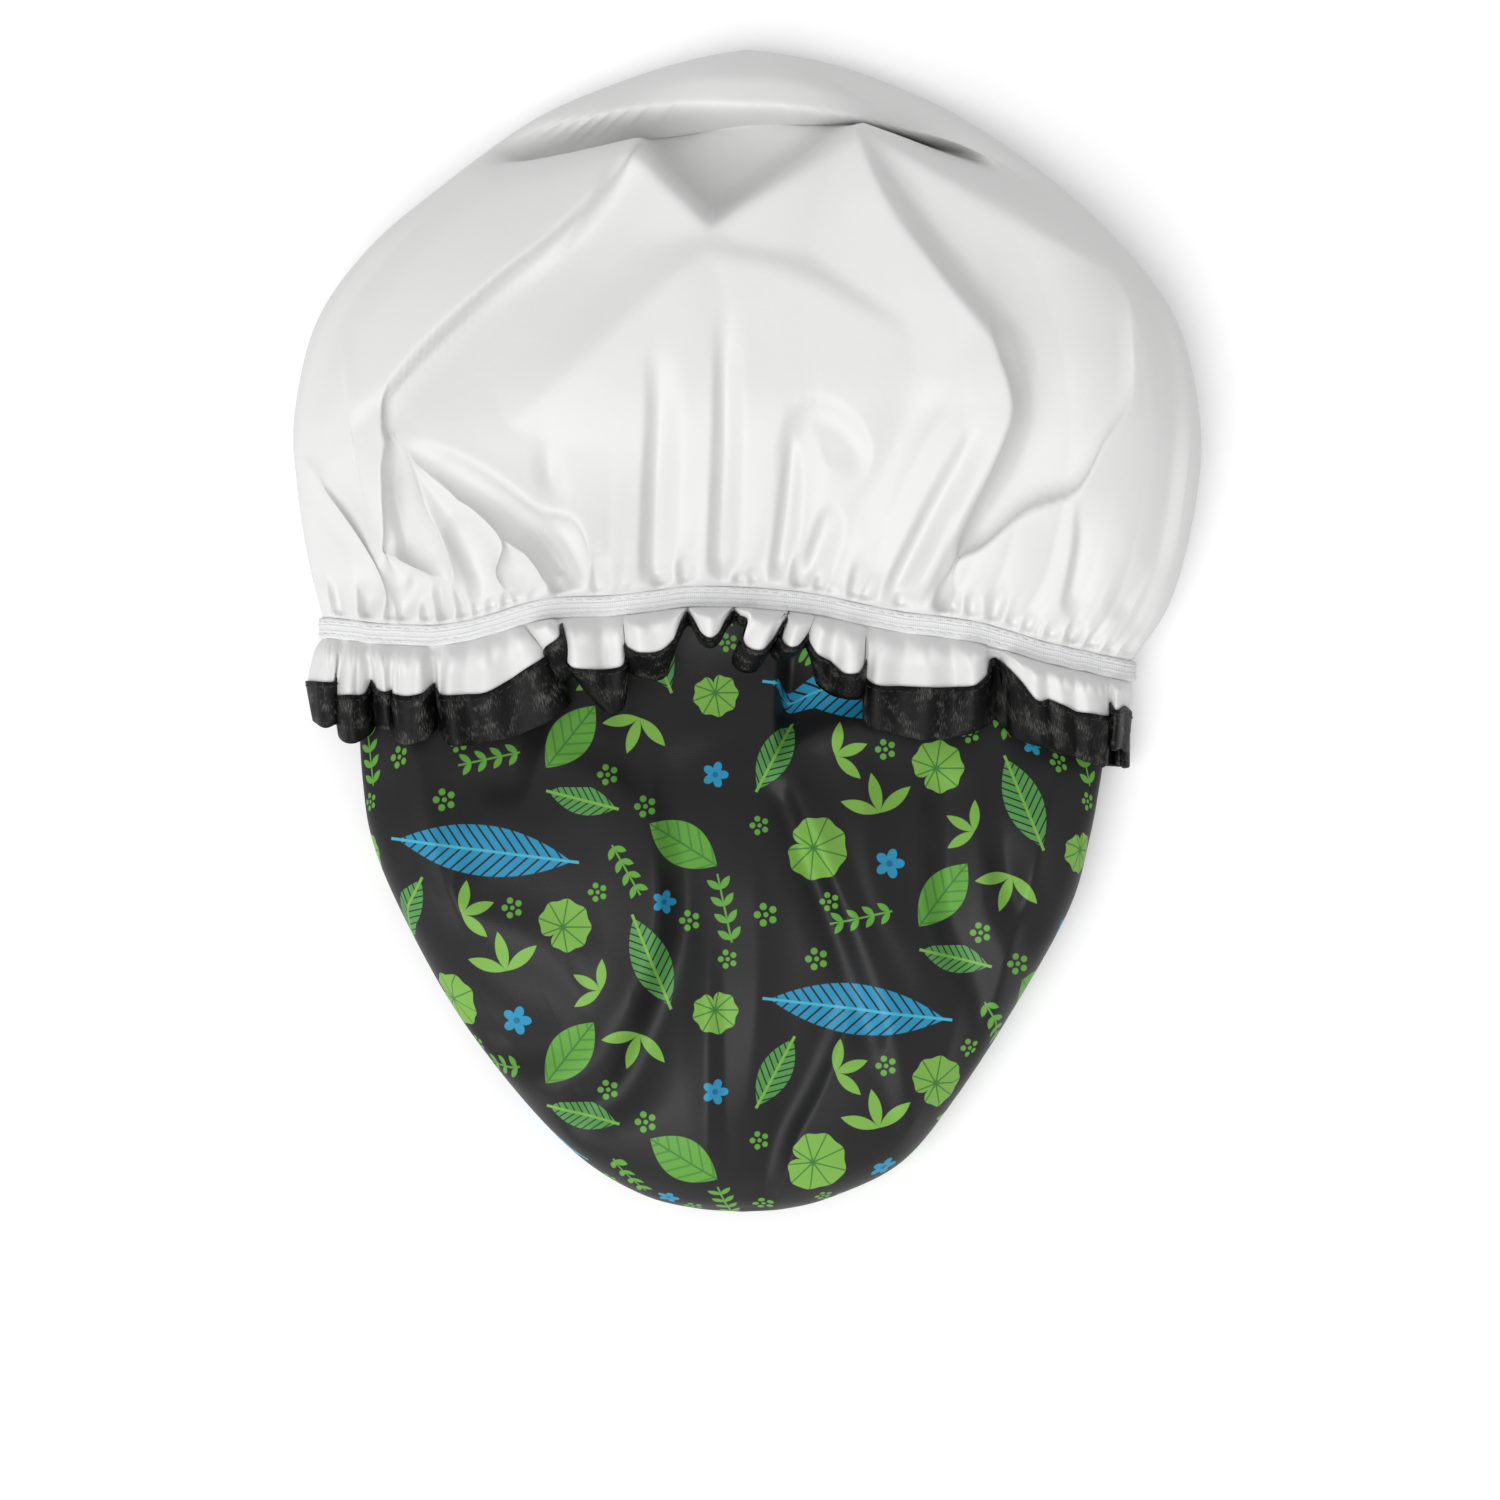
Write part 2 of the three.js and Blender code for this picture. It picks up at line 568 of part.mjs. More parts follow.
const frillDistances = [
  -ELASTIC_WIDTH / 2, ELASTIC_WIDTH / 2, mix(ELASTIC_WIDTH / 2, HEM_TOP, 1 / 2), HEM_TOP, FRILL_DEPTH,
];
const frillLoops = frillDistances.map((distance) => frillTurns.map((turn) => frillPoint(turn, distance)));
const frillNormals = gridNormals(frillLoops, null, -1);

// Point between the top of the binding and its fold, at a depth outwards from the film
function hemPoint(column, share, depth) {
  const top = frillDistances.length - 2;
  const point = frillLoops[top][column].clone().lerp(frillLoops[top + 1][column], share);
  const normal = frillNormals[top][column].clone().lerp(frillNormals[top + 1][column], share).normalize();
  return point.addScaledVector(normal, depth);
}

// One frill layer, cut just inside the binding's fold
function frillLayerGeometry(level, wall) {
  const cut = 1 - (HEM_WALL + 2 * CLEARANCE) / HEM_DEPTH;
  const loops = frillLoops.slice(0, -1);
  const normals = frillNormals.slice(0, -1);
  loops.push(frillTurns.map((turn, column) => hemPoint(column, cut, 0)));
  normals.push(frillTurns.map((turn, column) => (
    hemPoint(column, cut, 1).sub(hemPoint(column, cut, 0)).normalize())));
  return clothGeometry(loops, normals, level - wall / 2, level + wall / 2, null);
}

// Binding folded round the frill's edge
function hemGeometry() {
  const fold = 1 - HEM_WALL / HEM_DEPTH;
  const corners = [
    [0, HEM_FACE], [1, HEM_FACE], [1, HEM_OUTER_BACK], [0, HEM_OUTER_BACK],
    [0, HEM_INNER_BACK], [fold, HEM_INNER_BACK], [fold, HEM_UNDERSIDE], [0, HEM_UNDERSIDE],
  ];
  return ringGeometry(frillTurns.length, corners.map(([share, depth]) => (
    (column) => hemPoint(column, share, depth))));
}

// Point on the waist at a depth outwards and a distance below the seam's middle
function bandPoint(column, depth, distance) {
  const turn = frillTurns[column];
  const point = waistPoint(turn).addScaledVector(waistOutward(turn), depth);
  point.y -= distance;
  return point;
}

// Elastic tape, a closed loop on the liner's side of the seam
function elasticGeometry() {
  const half = ELASTIC_WIDTH / 2;
  const corners = [
    [ELASTIC_UNDERSIDE, -half], [ELASTIC_FACE, -half], [ELASTIC_FACE, half], [ELASTIC_UNDERSIDE, half],
  ];
  return ringGeometry(frillTurns.length, corners.map(([depth, distance]) => (
    (column) => bandPoint(column, depth, distance))));
}

// Corners of a thread's three-sided section, lying on a face at a given depth
function threadCorners(face) {
  const low = face + CLEARANCE;
  const high = low + THREAD_RADIUS * 2;
  return [[high, 0], [low, -THREAD_RADIUS], [low, THREAD_RADIUS]];
}

// Row of stitches along the elastic
function elasticStitchGeometry(distance) {
  return ringGeometry(frillTurns.length, threadCorners(ELASTIC_FACE).map(([depth, aside]) => (
    (column) => bandPoint(column, depth, distance + aside))));
}

// Row of stitches along the top of the binding
function hemStitchGeometry() {
  return ringGeometry(frillTurns.length, threadCorners(HEM_FACE).map(([depth, aside]) => (
    (column) => hemPoint(column, (HEM_STITCH_INSET + aside) / HEM_DEPTH, depth))));
}

// Bag as cloth with a wall
function bagGeometry(bag) {
  const { loops, tip } = bagRows(bag);
  const normals = gridNormals(loops, tip, bag.direction);
  const point = tip;
  const normal = new THREE.Vector3(0, bag.direction, 0);
  return clothGeometry(loops, normals, -bag.wall / 2, bag.wall / 2, { point, normal });
}

const liner = {
  direction: 1,
  centreX: 0,
  halfWidth: LINER_HALF_WIDTH - FILM_WALL / 2,
  reach: LINER_REACH,
  depth: LINER_DEPTH,
  wall: FILM_WALL,
  inset: 0,
  start: ELASTIC_WIDTH / 2 + 2 * CLEARANCE,
  rows: LINER_ROW_SHARES,
  tip: LINER_TIP_SHARES,
  loops: LINER_LOOP_SHARES,
  folds: LINER_FOLD_SHARES,
  foldHeight: FOLD_HEIGHT,
  pocket: LINER_POCKET_SHARES,
  gathers: 1,
};

const shell = {
  direction: -1,
  centreX: SHELL_CENTRE_X,
  halfWidth: SHELL_HALF_WIDTH,
  reach: SHELL_REACH,
  depth: SHELL_DEPTH,
  wall: SATIN_WALL,
  inset: -SHELL_LEVEL,
  start: -SHELL_SEAM_INSET_SHARE * ELASTIC_WIDTH,
  rows: SHELL_ROW_SHARES,
  tip: SHELL_TIP_SHARES,
  loops: SHELL_LOOP_SHARES,
  folds: SHELL_FOLD_SHARES,
  foldHeight: SHELL_FOLD_HEIGHT,
  pocket: null,
  gathers: 0,
};

// Bar tack that closes the elastic into a loop, under the middle of the back
function tackMesh(material) {
  const turn = 3 * Math.PI / 2;
  const tack = new THREE.Mesh(new THREE.BoxGeometry(TACK_LENGTH, TACK_WIDTH, TACK_THICKNESS), material);
  tack.position.copy(waistPoint(turn));
  tack.position.addScaledVector(waistOutward(turn), ELASTIC_FACE + CLEARANCE + TACK_THICKNESS / 2);
  return tack;
}

// Materials
const film = new THREE.MeshStandardMaterial({ color: 0xebebeb, roughness: 0.42, metalness: 0 });
const satin = new THREE.MeshStandardMaterial({ color: 0x262628, roughness: 0.45, metalness: 0 });
const bindingSatin = new THREE.MeshStandardMaterial({ color: 0x1d1d1e, roughness: 0.35, metalness: 0 });
const elastic = new THREE.MeshStandardMaterial({ color: 0xe4e4e4, roughness: 0.7, metalness: 0 });
const whiteThread = new THREE.MeshStandardMaterial({ color: 0xf2f2f2, roughness: 0.6, metalness: 0 });
const blackThread = new THREE.MeshStandardMaterial({ color: 0x141414, roughness: 0.6, metalness: 0 });

const group = new THREE.Group();

function addPiece(name, piece, material) {
  const mesh = piece.isMesh ? piece : new THREE.Mesh(piece, material);
  mesh.name = name;
  group.add(mesh);
}

addPiece('liner_crown', bagGeometry(liner), film);
addPiece('liner_frill', frillLayerGeometry(0, FILM_WALL), film);
addPiece('shell_crown', bagGeometry(shell), satin);
addPiece('shell_frill', frillLayerGeometry(SATIN_LEVEL, SATIN_WALL), satin);
addPiece('hem_binding', hemGeometry(), bindingSatin);
addPiece('elastic_band', elasticGeometry(), elastic);
addPiece('elastic_stitch_upper', elasticStitchGeometry(STITCH_INSET - ELASTIC_WIDTH / 2), whiteThread);
addPiece('elastic_stitch_lower', elasticStitchGeometry(ELASTIC_WIDTH / 2 - STITCH_INSET), whiteThread);
addPiece('hem_stitch', hemStitchGeometry(), blackThread);
addPiece('elastic_join_tack', tackMesh(whiteThread), whiteThread);

export default group;
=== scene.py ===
import math

import bmesh
import bpy
import numpy as np
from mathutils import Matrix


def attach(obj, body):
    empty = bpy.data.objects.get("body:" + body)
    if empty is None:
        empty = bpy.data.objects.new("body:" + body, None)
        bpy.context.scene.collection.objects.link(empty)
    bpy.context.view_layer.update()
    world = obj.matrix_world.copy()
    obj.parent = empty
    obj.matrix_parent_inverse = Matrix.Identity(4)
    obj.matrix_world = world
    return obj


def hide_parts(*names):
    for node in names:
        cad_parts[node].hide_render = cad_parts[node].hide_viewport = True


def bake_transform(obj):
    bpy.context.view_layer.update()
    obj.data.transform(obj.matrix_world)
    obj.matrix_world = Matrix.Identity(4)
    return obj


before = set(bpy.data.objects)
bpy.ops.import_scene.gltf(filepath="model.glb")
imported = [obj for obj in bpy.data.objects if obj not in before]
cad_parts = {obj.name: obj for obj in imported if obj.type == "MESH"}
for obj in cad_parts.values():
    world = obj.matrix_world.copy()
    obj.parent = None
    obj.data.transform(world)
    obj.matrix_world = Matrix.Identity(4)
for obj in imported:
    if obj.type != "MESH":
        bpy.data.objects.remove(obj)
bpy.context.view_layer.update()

MM = 0.001
SEED = 7

# Photograph: its scale, its middle on the table, and the camera over it
PHOTO_WIDTH = 480
PHOTO_MIDDLE = (1, -38.2)
OUTLINE_HEIGHT = 12
CAMERA_DISTANCE = 1800
SENSOR_WIDTH = 36

# Light: the key's strength, softness, height and side in degrees, and the surround's strength
KEY_STRENGTH = 1.85
KEY_SOFTNESS = 56
KEY_HEIGHT = 56
KEY_SIDE = -36
SURROUND_STRENGTH = 0.5
FLOOR_LIFT = 0.17
FLOOR_HALF_WIDTH = 6000
FLOOR_DROP = 0.4

# Waist, where the elastic gathers both discs
WAIST_HALF_WIDTH = 129.5
WAIST_CENTRE_X = -6.25
WAIST_ARCH = 10.4
WAIST_FRONT_HEIGHT = 31
WAIST_SIDE_HEIGHT = 10
WAIST_BACK_HEIGHT = 3.2
ELASTIC_WIDTH = 6.5
ELASTIC_HALF = ELASTIC_WIDTH / 2

# Levels of the layers at the waist, outwards from the liner film
ELASTIC_UNDERSIDE = 0.15
ELASTIC_FACE = 1.4
SATIN_LEVEL = -0.4
SHELL_LEVEL = -2.9

# Bags
LINER_HALF_WIDTH = 144.6
LINER_REACH = 186.3
LINER_DEPTH = 58
SHELL_HALF_WIDTH = 118
SHELL_CENTRE_X = -5
SHELL_REACH = 186.3
SHELL_DEPTH = 42
TABLE_GAP = 0.4
SHELL_START_SHARE = 0.3

# Seam's arch and the spacing of a bag's rows: how finely the arch is read, how far up a bag and how
# far round it the arch fades in, the half step to find which way is out, how much rows crowd at the
# ends, and the last part of a bag, where folds fade out
ARCH_STEPS = 400
ARCH_REACH_SHARE = 0.45
ARCH_RISE_SHARE = 0.5
OUTWARD_STEP = math.pi / 90
ROW_CROWDING_SHARE = 0.055
TIP_SHARE = 0.12
TINY = 1e-9

# Roundness of a bag's section: powers of its swell over the front and underneath, and its fullness
OVER_POWER = 0.8
UNDER_POWER = 0.7
UNDER_FULLNESS = 1.25

# Folds: how they round off, fade and tuck, and the distances from the elastic over which they start
FOLD_ROUNDING = 1
FOLD_STEPS = 5
FOLD_FADE_POWER = 1.7
FOLD_TUCK_SHARE = 0.3
TUCK_SPREAD = 7
TUCK_WIDE_SHARE = 1.6
TUCK_FULL_HEIGHT = 5
TUCK_MIDDLE_SHARE = 0.55
TUCK_TIP_SHARE = 0.1
LINER_FOLD_START = (0, 10)
LINER_TUCK_START = (0, 2.4)
LINER_CREASE_START = (4, 20)
SHELL_FOLD_START = (2, 24)
SHELL_CREASE_START = (20, 60)
LINER_SIDE_RATE = 2.2
SHELL_SIDE_RATE = 2
LINER_PASSES = 1
SHELL_PASSES = 3

# Faint creases: how many, half length and height, then what each varies by
LINER_CREASES = (46, 24, 1)
SHELL_CREASES = (26, 30, 1.4)
BACK_CREASES = (34, 30, 2.6)
CREASE_LENGTH_SHARES = (0.5, 1.3)
CREASE_BEND_SHARE = 0.2
CREASE_END_SHARE = 0.2
CREASE_SPREAD = (8, 18)
CREASE_SIDE_SHARES = (0.6, 2)

# Gathers on the underside: how many round the waist, height, reach, and where they and the creases
# start from the elastic
BACK_GATHERS = 56
BACK_GATHER_HEIGHT = 4
BACK_GATHER_REACH = 26
BACK_GATHER_DRIFT = 2
BACK_GATHER_START = (0, 5)
BACK_CREASE_START = (10, 40)
BACK_SIDE_SHARES = (0, 0.4)

# Cloth beside the elastic: its bulge over the elastic's edge, then the wander of the gathers
EDGE_BULGE = 4.4
EDGE_BULGE_START = 0.5
EDGE_BULGE_REACH = 11
GATHER_DRIFT = 0.9
GATHER_POWER = 0.7
GATHER_MIDDLE_SHARE = 0.6
GATHER_STRENGTH_SHARES = (0.75, 0.65)
GATHER_REACH_SHARE = 0.45
# Gathers at the elastic: how many round the waist, height, start and reach
GATHERS = [(150, 1, 0.8, 5), (76, 1.4, 2, 9), (40, 1.6, 4, 18), (22, 1.4, 8, 30)]

# Frill and the binding round its edge
FRILL_DEPTH = 34
HEM_DEPTH = 14.5
HEM_TOP = FRILL_DEPTH - HEM_DEPTH
HEM_SPREAD = 0.5
HEM_WALL = 0.35
HEM_BACK_INSET = 0.3
HEM_EDGE_WALL = 0.5
HEM_BEND_SHARE = 0.6
HEM_STEPS = 9
HEM_BEND_STEPS = 7
HEM_ROW_PLACE = 2

# Fold of the satin at the elastic
SHELL_FOLD_BULGE = 1.2
SHELL_FOLD_STEPS = 6

# Grid counts
FRONT_COLUMNS = 560
BACK_COLUMNS = 144
BAG_ROWS = 168
FRILL_ROWS = 28
BAND_ROWS = 3

# Seam line at the front: share of the waist's half width, then share of the waist's arch
SEAM_LINE_SHARES = [
    (-1, 0.08), (-0.8, -0.16), (-0.65, -0.08), (-0.45, 0.6), (-0.26, 0.74), (-0.06, 1),
    (0.18, 0.82), (0.41, 0.26), (0.61, -0.08), (0.8, -0.75), (1, -1.25),
]
LEFT_SEAM_SHARE = SEAM_LINE_SHARES[0][1]
RIGHT_SEAM_SHARE = SEAM_LINE_SHARES[-1][1]

# Rows of the bags from waist to crown: left edge, right edge, and edge, top and back heights, as
# shares of half width, reach and depth
LINER_ROW_SHARES = [
    (-0.97, 0.12, 0.94, 0.055, 0.2, 0.74, 0),
    (-0.995, 0.25, 0.995, 0.23, 0.22, 0.92, 0),
    (-1, 0.37, 1, 0.37, 0.22, 1, 0),
    (-0.95, 0.53, 0.95, 0.53, 0.22, 0.98, 0),
    (-0.83, 0.66, 0.83, 0.66, 0.21, 0.92, 0),
    (-0.67, 0.765, 0.68, 0.77, 0.2, 0.82, 0),
    (-0.47, 0.88, 0.48, 0.88, 0.19, 0.64, 0.01),
    (-0.26, 0.95, 0.27, 0.955, 0.17, 0.44, 0.03),
    (-0.11, 0.985, 0.12, 0.987, 0.16, 0.3, 0.07),
    (0, 1, 0, 1, 0.16, 0.16, 0.15),
]
SHELL_ROW_SHARES = [
    (-1.02, 0.11, 1.03, 0.135, 0.28, 0.54, 0.22),
    (-1, 0.25, 1, 0.26, 0.31, 0.67, 0.21),
    (-0.975, 0.355, 0.97, 0.36, 0.3, 0.9, 0),
    (-0.9, 0.475, 0.915, 0.48, 0.28, 1, 0),
    (-0.75, 0.65, 0.76, 0.655, 0.26, 0.98, 0),
    (-0.565, 0.805, 0.6, 0.81, 0.24, 0.86, 0),
    (-0.4, 0.91, 0.46, 0.915, 0.22, 0.68, 0.01),
    (-0.24, 0.97, 0.28, 0.972, 0.21, 0.48, 0.04),
    (-0.1, 0.993, 0.15, 0.994, 0.2, 0.32, 0.09),
    (0.03, 1, 0.03, 1, 0.2, 0.2, 0.19),
]

# Folds: path as x, y and height above or below the bag, then how far each fold spreads to the left
# and to the right of its path
LINER_FOLDS = [
    ([(-33.2, 154.2, 9), (-38.5, 145.2, 10), (-53.4, 128.2, 10), (-76.9, 110, 9), (-95, 93, 8),
      (-114.2, 71.6, 6)], 5.5, 52),
    ([(-42, 138, -4), (-54, 119.6, -7), (-76.9, 102.6, -7), (-92.9, 89.8, -5), (-110, 72, -2)], 36, 4.5),
    ([(-50, 130, -4), (-58, 120.4, -9), (-78, 104.2, -12), (-94, 90.6, -12), (-108, 76.2, -8),
      (-113, 70, -2)], 4, 3),
    ([(-33.2, 154.2, 9), (-24, 142, 6), (-10.2, 127.6, 3)], 7, 24),
    ([(-10.2, 127.6, 3), (8, 140, 7), (35, 159.6, 11)], 7, 34),
    ([(-78, 150.2, -3), (-52, 156.6, -8), (-33.6, 162.5, -8), (0, 170, -1), (35.4, 167.6, -8),
      (52, 161, -11), (68, 153, -10), (107.4, 137, -5)], 26, 10),
    ([(-96, 142, 1), (-62, 164, 4), (-30, 177, 6), (2, 181, 7), (34, 177, 6), (66, 164, 4), (96, 148, 1)],
     12, 20),
    ([(35, 159.6, 11), (40.4, 141, 9), (51.1, 122.8, 7), (63.9, 106.8, 7), (76.2, 92.4, 7)], 10, 38),
    ([(76.2, 92.4, 7), (83.1, 70.6, 8), (79.9, 56.7, 8), (68.2, 31, 7), (56.4, 4.4, 6)], 5.5, 38),
    ([(52, 142, -2), (66, 115, -4), (84, 93, -5), (90, 71, -8), (86, 53, -9), (74, 31, -9),
      (62, 7, -8)], 34, 7),
    ([(120.4, 115.2, 1), (121.5, 76, 3), (112, 58, 4), (103.6, 43.5, 5), (88.4, 37.6, 6), (76.7, 27.9, 7),
      (67.6, 20.4, 7), (65.5, 8, 5)], 34, 5),
    ([(104.5, 38, -2), (105.4, 28, -4), (103, 12, -4)], 14, 3),
    ([(133, 52, -1), (130, 25, -3), (119, 9, -3)], 6, 8),
    ([(35, 159.6, 8), (66, 140, 4), (98, 122, 4), (117, 114, 2)], 12, 22),
    ([(-12.2, 117.2, 4), (-24.6, 108.3, 4.5), (-48.6, 86.2, 3.5), (-76.8, 61.3, 1)], 34, 16),
    ([(-12.2, 117.2, 4), (11.2, 112.2, 3), (47.4, 95.3, 2.5), (75.2, 92.3, 1)], 12, 34),
    ([(-86.7, 143.2, -2), (-112.6, 118.2, -3), (-130.4, 91.2, -3.5), (-137.2, 56, -3.5), (-133.7, 18, -3)],
     9, 6),
    ([(108.5, 136.2, -2), (122.3, 118.4, -3), (131.4, 98, -3.5), (135.4, 74, -3.5), (131.4, 32, -3.5),
      (123, 4, -2)], 6, 9),
    ([(-114.6, 68, 6), (-114.6, 46, 7), (-114.2, 24, 6)], 3.6, 22),
    ([(-111.4, 58, -4), (-110.6, 42, -7), (-107, 26, -6)], 12, 3),
    ([(-114.2, 24, 5), (-105.7, 19.8, 6), (-97.7, 15.4, 6), (-96.1, 9.4, 4)], 6, 3),
    ([(-104, 14, -4), (-106, 8, -4)], 6, 4),
    ([(-109, 57, 4), (-101.4, 38.6, 5), (-95, 25.8, 6), (-89.7, 7.6, 5)], 9, 6),
    ([(-108.9, 58.3, 4), (-92.9, 42.8, 5), (-78.4, 26.4, 7), (-79, 17, 5), (-74, 9, 3)], 7, 9),
    ([(-90, 30, -3), (-84, 18, -4), (-83, 9, -3)], 7, 4),
    ([(-100.4, 58.3, 3), (-82.2, 48.2, 5), (-66, 37, 6), (-54.6, 33.6, 6), (-50, 25, 6), (-46.8, 10, 5)],
     30, 4),
    ([(-92, 49, -2), (-78, 39, -6), (-67, 29, -11), (-61, 22, -14), (-55, 10, -12)], 6, 9),
    ([(-84, 39, 3), (-72.6, 26.6, 6), (-66, 18.4, 6), (-60.6, 10, 5)], 4, 7),
    ([(-139.3, 51.4, 3), (-130.2, 39.6, 5), (-120.6, 25.8, 6), (-114.8, 14, 5), (-113.9, 4.4, 3)], 4.5, 8),
    ([(-134, 49, -2), (-124, 37, -4), (-116.6, 24, -4)], 9, 4),
    ([(-128, 84, 3), (-123.6, 57, 4), (-120.6, 40.7, 2)], 5, 14),
    ([(-27, 84, -0.5), (-26.6, 66, -4), (-28, 40, -8), (-29.4, 8, -7)], 8, 5),
    ([(-62, 58, -0.5), (-62, 49, -2.4), (-60, 42, -1)], 6, 6),
    ([(-6, 96, -0.5), (-6, 62, -6), (-7.2, 34, -9), (-8.2, 10, -8)], 6, 4.6),
    ([(15.8, 68, -0.5), (14.6, 50, -6), (12.4, 30, -8), (9.2, 10, -7)], 5, 4),
    ([(15.6, 44, -1), (17, 58, -3), (20.6, 64.6, -3.6), (27, 62.6, -3.6), (33.6, 55, -3),
      (33.4, 47, -1)], 7, 26),
    ([(25.6, 33, -5), (21.8, 22, -8), (19, 10, -7)], 7, 4),
    ([(73, 62, -0.5), (61.8, 42, -5), (53.6, 26, -8), (44, 7, -7)], 7, 4),
    ([(58, 78, -0.5), (48, 62, -2.4), (36, 38, -1.4)], 9, 14),
]
# The pocket behind the liner's front: its rim; its middle x and y, half width, half height and depth;
# the softness of its front edge; the power of its fall to the floor; then y from and to which its
# far side is smoothed, and how often
POCKET_RIM = [(-78, 150), (-33.6, 156), (-24, 144), (-10.2, 129.6), (8, 142.4), (35, 161.4), (107, 137)]
POCKET_BOWL = (-5, 149, 80, 24, 31)
POCKET_EDGE = 4
POCKET_FALL = 0.35
POCKET_REACH = (118, 130)
POCKET_PASSES = 6
# Roof that hangs over the pocket: its front edge, how far it comes forward, how it starts and ends
# behind that edge, and where it starts and ends across
ROOF_EDGE = [(-78, 148), (-52, 153.5), (-33.6, 158), (0, 163), (35.4, 162.5), (52, 158), (68, 151.5),
             (107, 136)]
ROOF_LIP = 9
ROOF_LIP_START = (-2, 9)
ROOF_LIP_END = (11, 27)
ROOF_SIDES = (-92, -60, 44, 96)
# Folds of the shell, written as the liner's are
SHELL_FOLDS = [
    ([(-82.2, -59.2, 3), (-91.5, -71, 5), (-94, -82.8, 7)], 8, 14),
    ([(-94, -82.8, 7), (-100, -64, 4), (-108, -32, 2)], 9, 12),
    ([(-94, -82.8, 7), (-89.8, -91.2, 6), (-74.6, -96.3, 5), (-52.8, -104.7, 2)], 16, 9),
    ([(-92, -91, 4), (-79.7, -98, 4), (-60, -106, 3), (-48, -120, 1)], 5, 10),
    ([(-97, -118, -5), (-80, -128, -8), (-60, -130, -7), (-50, -122, -3)], 16, 14),
    ([(-62.9, -40.7, 2), (-36, -54.2, 4), (-27.5, -84.5, 5), (-30.9, -108, 5), (-49.4, -133.3, 5),
      (-71.3, -147, 4)], 10, 20),
    ([(-20.7, -47.5, -3), (-19, -84.5, -5), (-22.4, -108, -6), (-35.9, -141.8, -9), (-48, -152, -8)],
     16, 9),
    ([(-12.3, -91.2, 1), (-12.3, -130, 4), (-12.3, -167, 3)], 7, 9),
    ([(2, -70, 1), (3, -116, 2.4), (0, -150, 1)], 12, 14),
    ([(14.6, -8, -9), (13.4, -24, -10), (13, -38, -5)], 16, 4),
    ([(13, -40, 7), (18, -34, 7), (38.2, -29.8, 5), (56, -30, 2)], 8, 20),
    ([(13, -40, 5), (16, -52, 5), (31.5, -91.2, 5), (46.6, -133.3, 4), (51.7, -158.6, 3)], 14, 6),
    ([(9.6, -56, -3), (25, -92, -4), (38, -128, -3)], 7, 8),
    ([(28, -116, -2), (18, -141.8, -5), (9.6, -158.6, -6), (4.5, -176, -4)], 7, 26),
    ([(63.5, -54.2, -4), (65.1, -91.2, -6), (75.2, -118.2, -5), (72, -140, -3)], 12, 9),
    ([(98.8, -45.8, 2), (88.7, -84.5, 4), (76.9, -124.9, 3)], 10, 12),
    ([(80, -58, -1), (84, -80, -5), (90, -96, -4)], 10, 8),
    ([(-40, -26, -2), (-38, -50, -1)], 8, 8),
    ([(-70, -24, -3), (-76, -48, -3)], 8, 10),
    ([(36, -40, 2), (40, -80, 3), (56, -110, 2)], 12, 14),
]

# Tucks between the gathers: x at the elastic, x and y of the tip, depth, and the spread to the left
# and right
LINER_TUCKS = [
    (-129.2, -131, 18, -7.4, 3.3, 5.8), (-120.3, -121, 15, -7.4, 3, 5.1), (-113.2, -112, 11, -7.4, 2.7, 4.4),
    (-109.4, -109, 14, -7.4, 3, 5.8), (-101, -101, 10, -6, 2.7, 4.1), (-95.8, -97, 17, -7.4, 3, 5.1),
    (-89.5, -91, 16, -7.4, 3, 5.8), (-85.6, -84, 9, -6, 2.4, 3.4), (-81, -79.6, 10, -6, 2.7, 4.1),
    (-76.4, -75, 11, -7, 2.7, 4.1), (-71.6, -73, 12, -7.4, 2.7, 4.1), (-67.2, -69, 11, -6, 2.4, 4.1),
    (-59.3, -60, 17, -7.4, 3, 5.1), (-47, -48, 24, -7.4, 2.7, 5.1), (-40.6, -40, 12, -7.4, 2.4, 4.1),
    (-37, -36, 11, -7, 2.7, 3.7), (-26.8, -27.4, 18, -7.4, 3, 4.4), (-23.4, -24, 14, -6, 2.4, 3.4),
    (-19.3, -19.8, 23, -7.4, 2.7, 4.1), (-15.4, -15, 14, -6, 2.7, 3.1), (-2.2, -1.2, 18, -7.4, 3, 4.1),
    (2.4, 2, 19, -7.4, 2.7, 4.1), (16.4, 16.6, 24, -8.2, 2.7, 4.4), (22.8, 24.6, 18, -7, 2.7, 4.1),
    (26.2, 28, 15, -6, 2.4, 3.4), (28.6, 30, 13, -6, 2.1, 3.1), (33.4, 36, 21, -7.4, 2.7, 5.1),
    (36.6, 41, 17, -7.4, 3, 4.4), (48, 50.6, 12, -7, 3, 4.4), (51.6, 53, 11, -5.4, 2.4, 3.4),
    (61.6, 63.4, 15, -8.2, 3, 4.4), (66.2, 66, 11, -6, 2.4, 3.4), (71, 71.6, 11.6, -7.4, 3.6, 3.7),
    (77.2, 80, 13, -7.4, 3.9, 3.4), (84, 85.4, 5, -6, 3, 3.4), (88, 91, 4.5, -7.4, 3, 3.4),
    (91.8, 92.8, 3, -6, 2.4, 2.4), (96, 98, 1.5, -6, 3.6, 4.1), (102.4, 105.6, 3, -7.4, 3, 4.4),
    (108.6, 112, -2, -6, 3, 5.1), (114.6, 118, -4.6, -7.4, 3, 5.1), (119.8, 126, -4.4, -6.6, 3.6, 5.1),
]

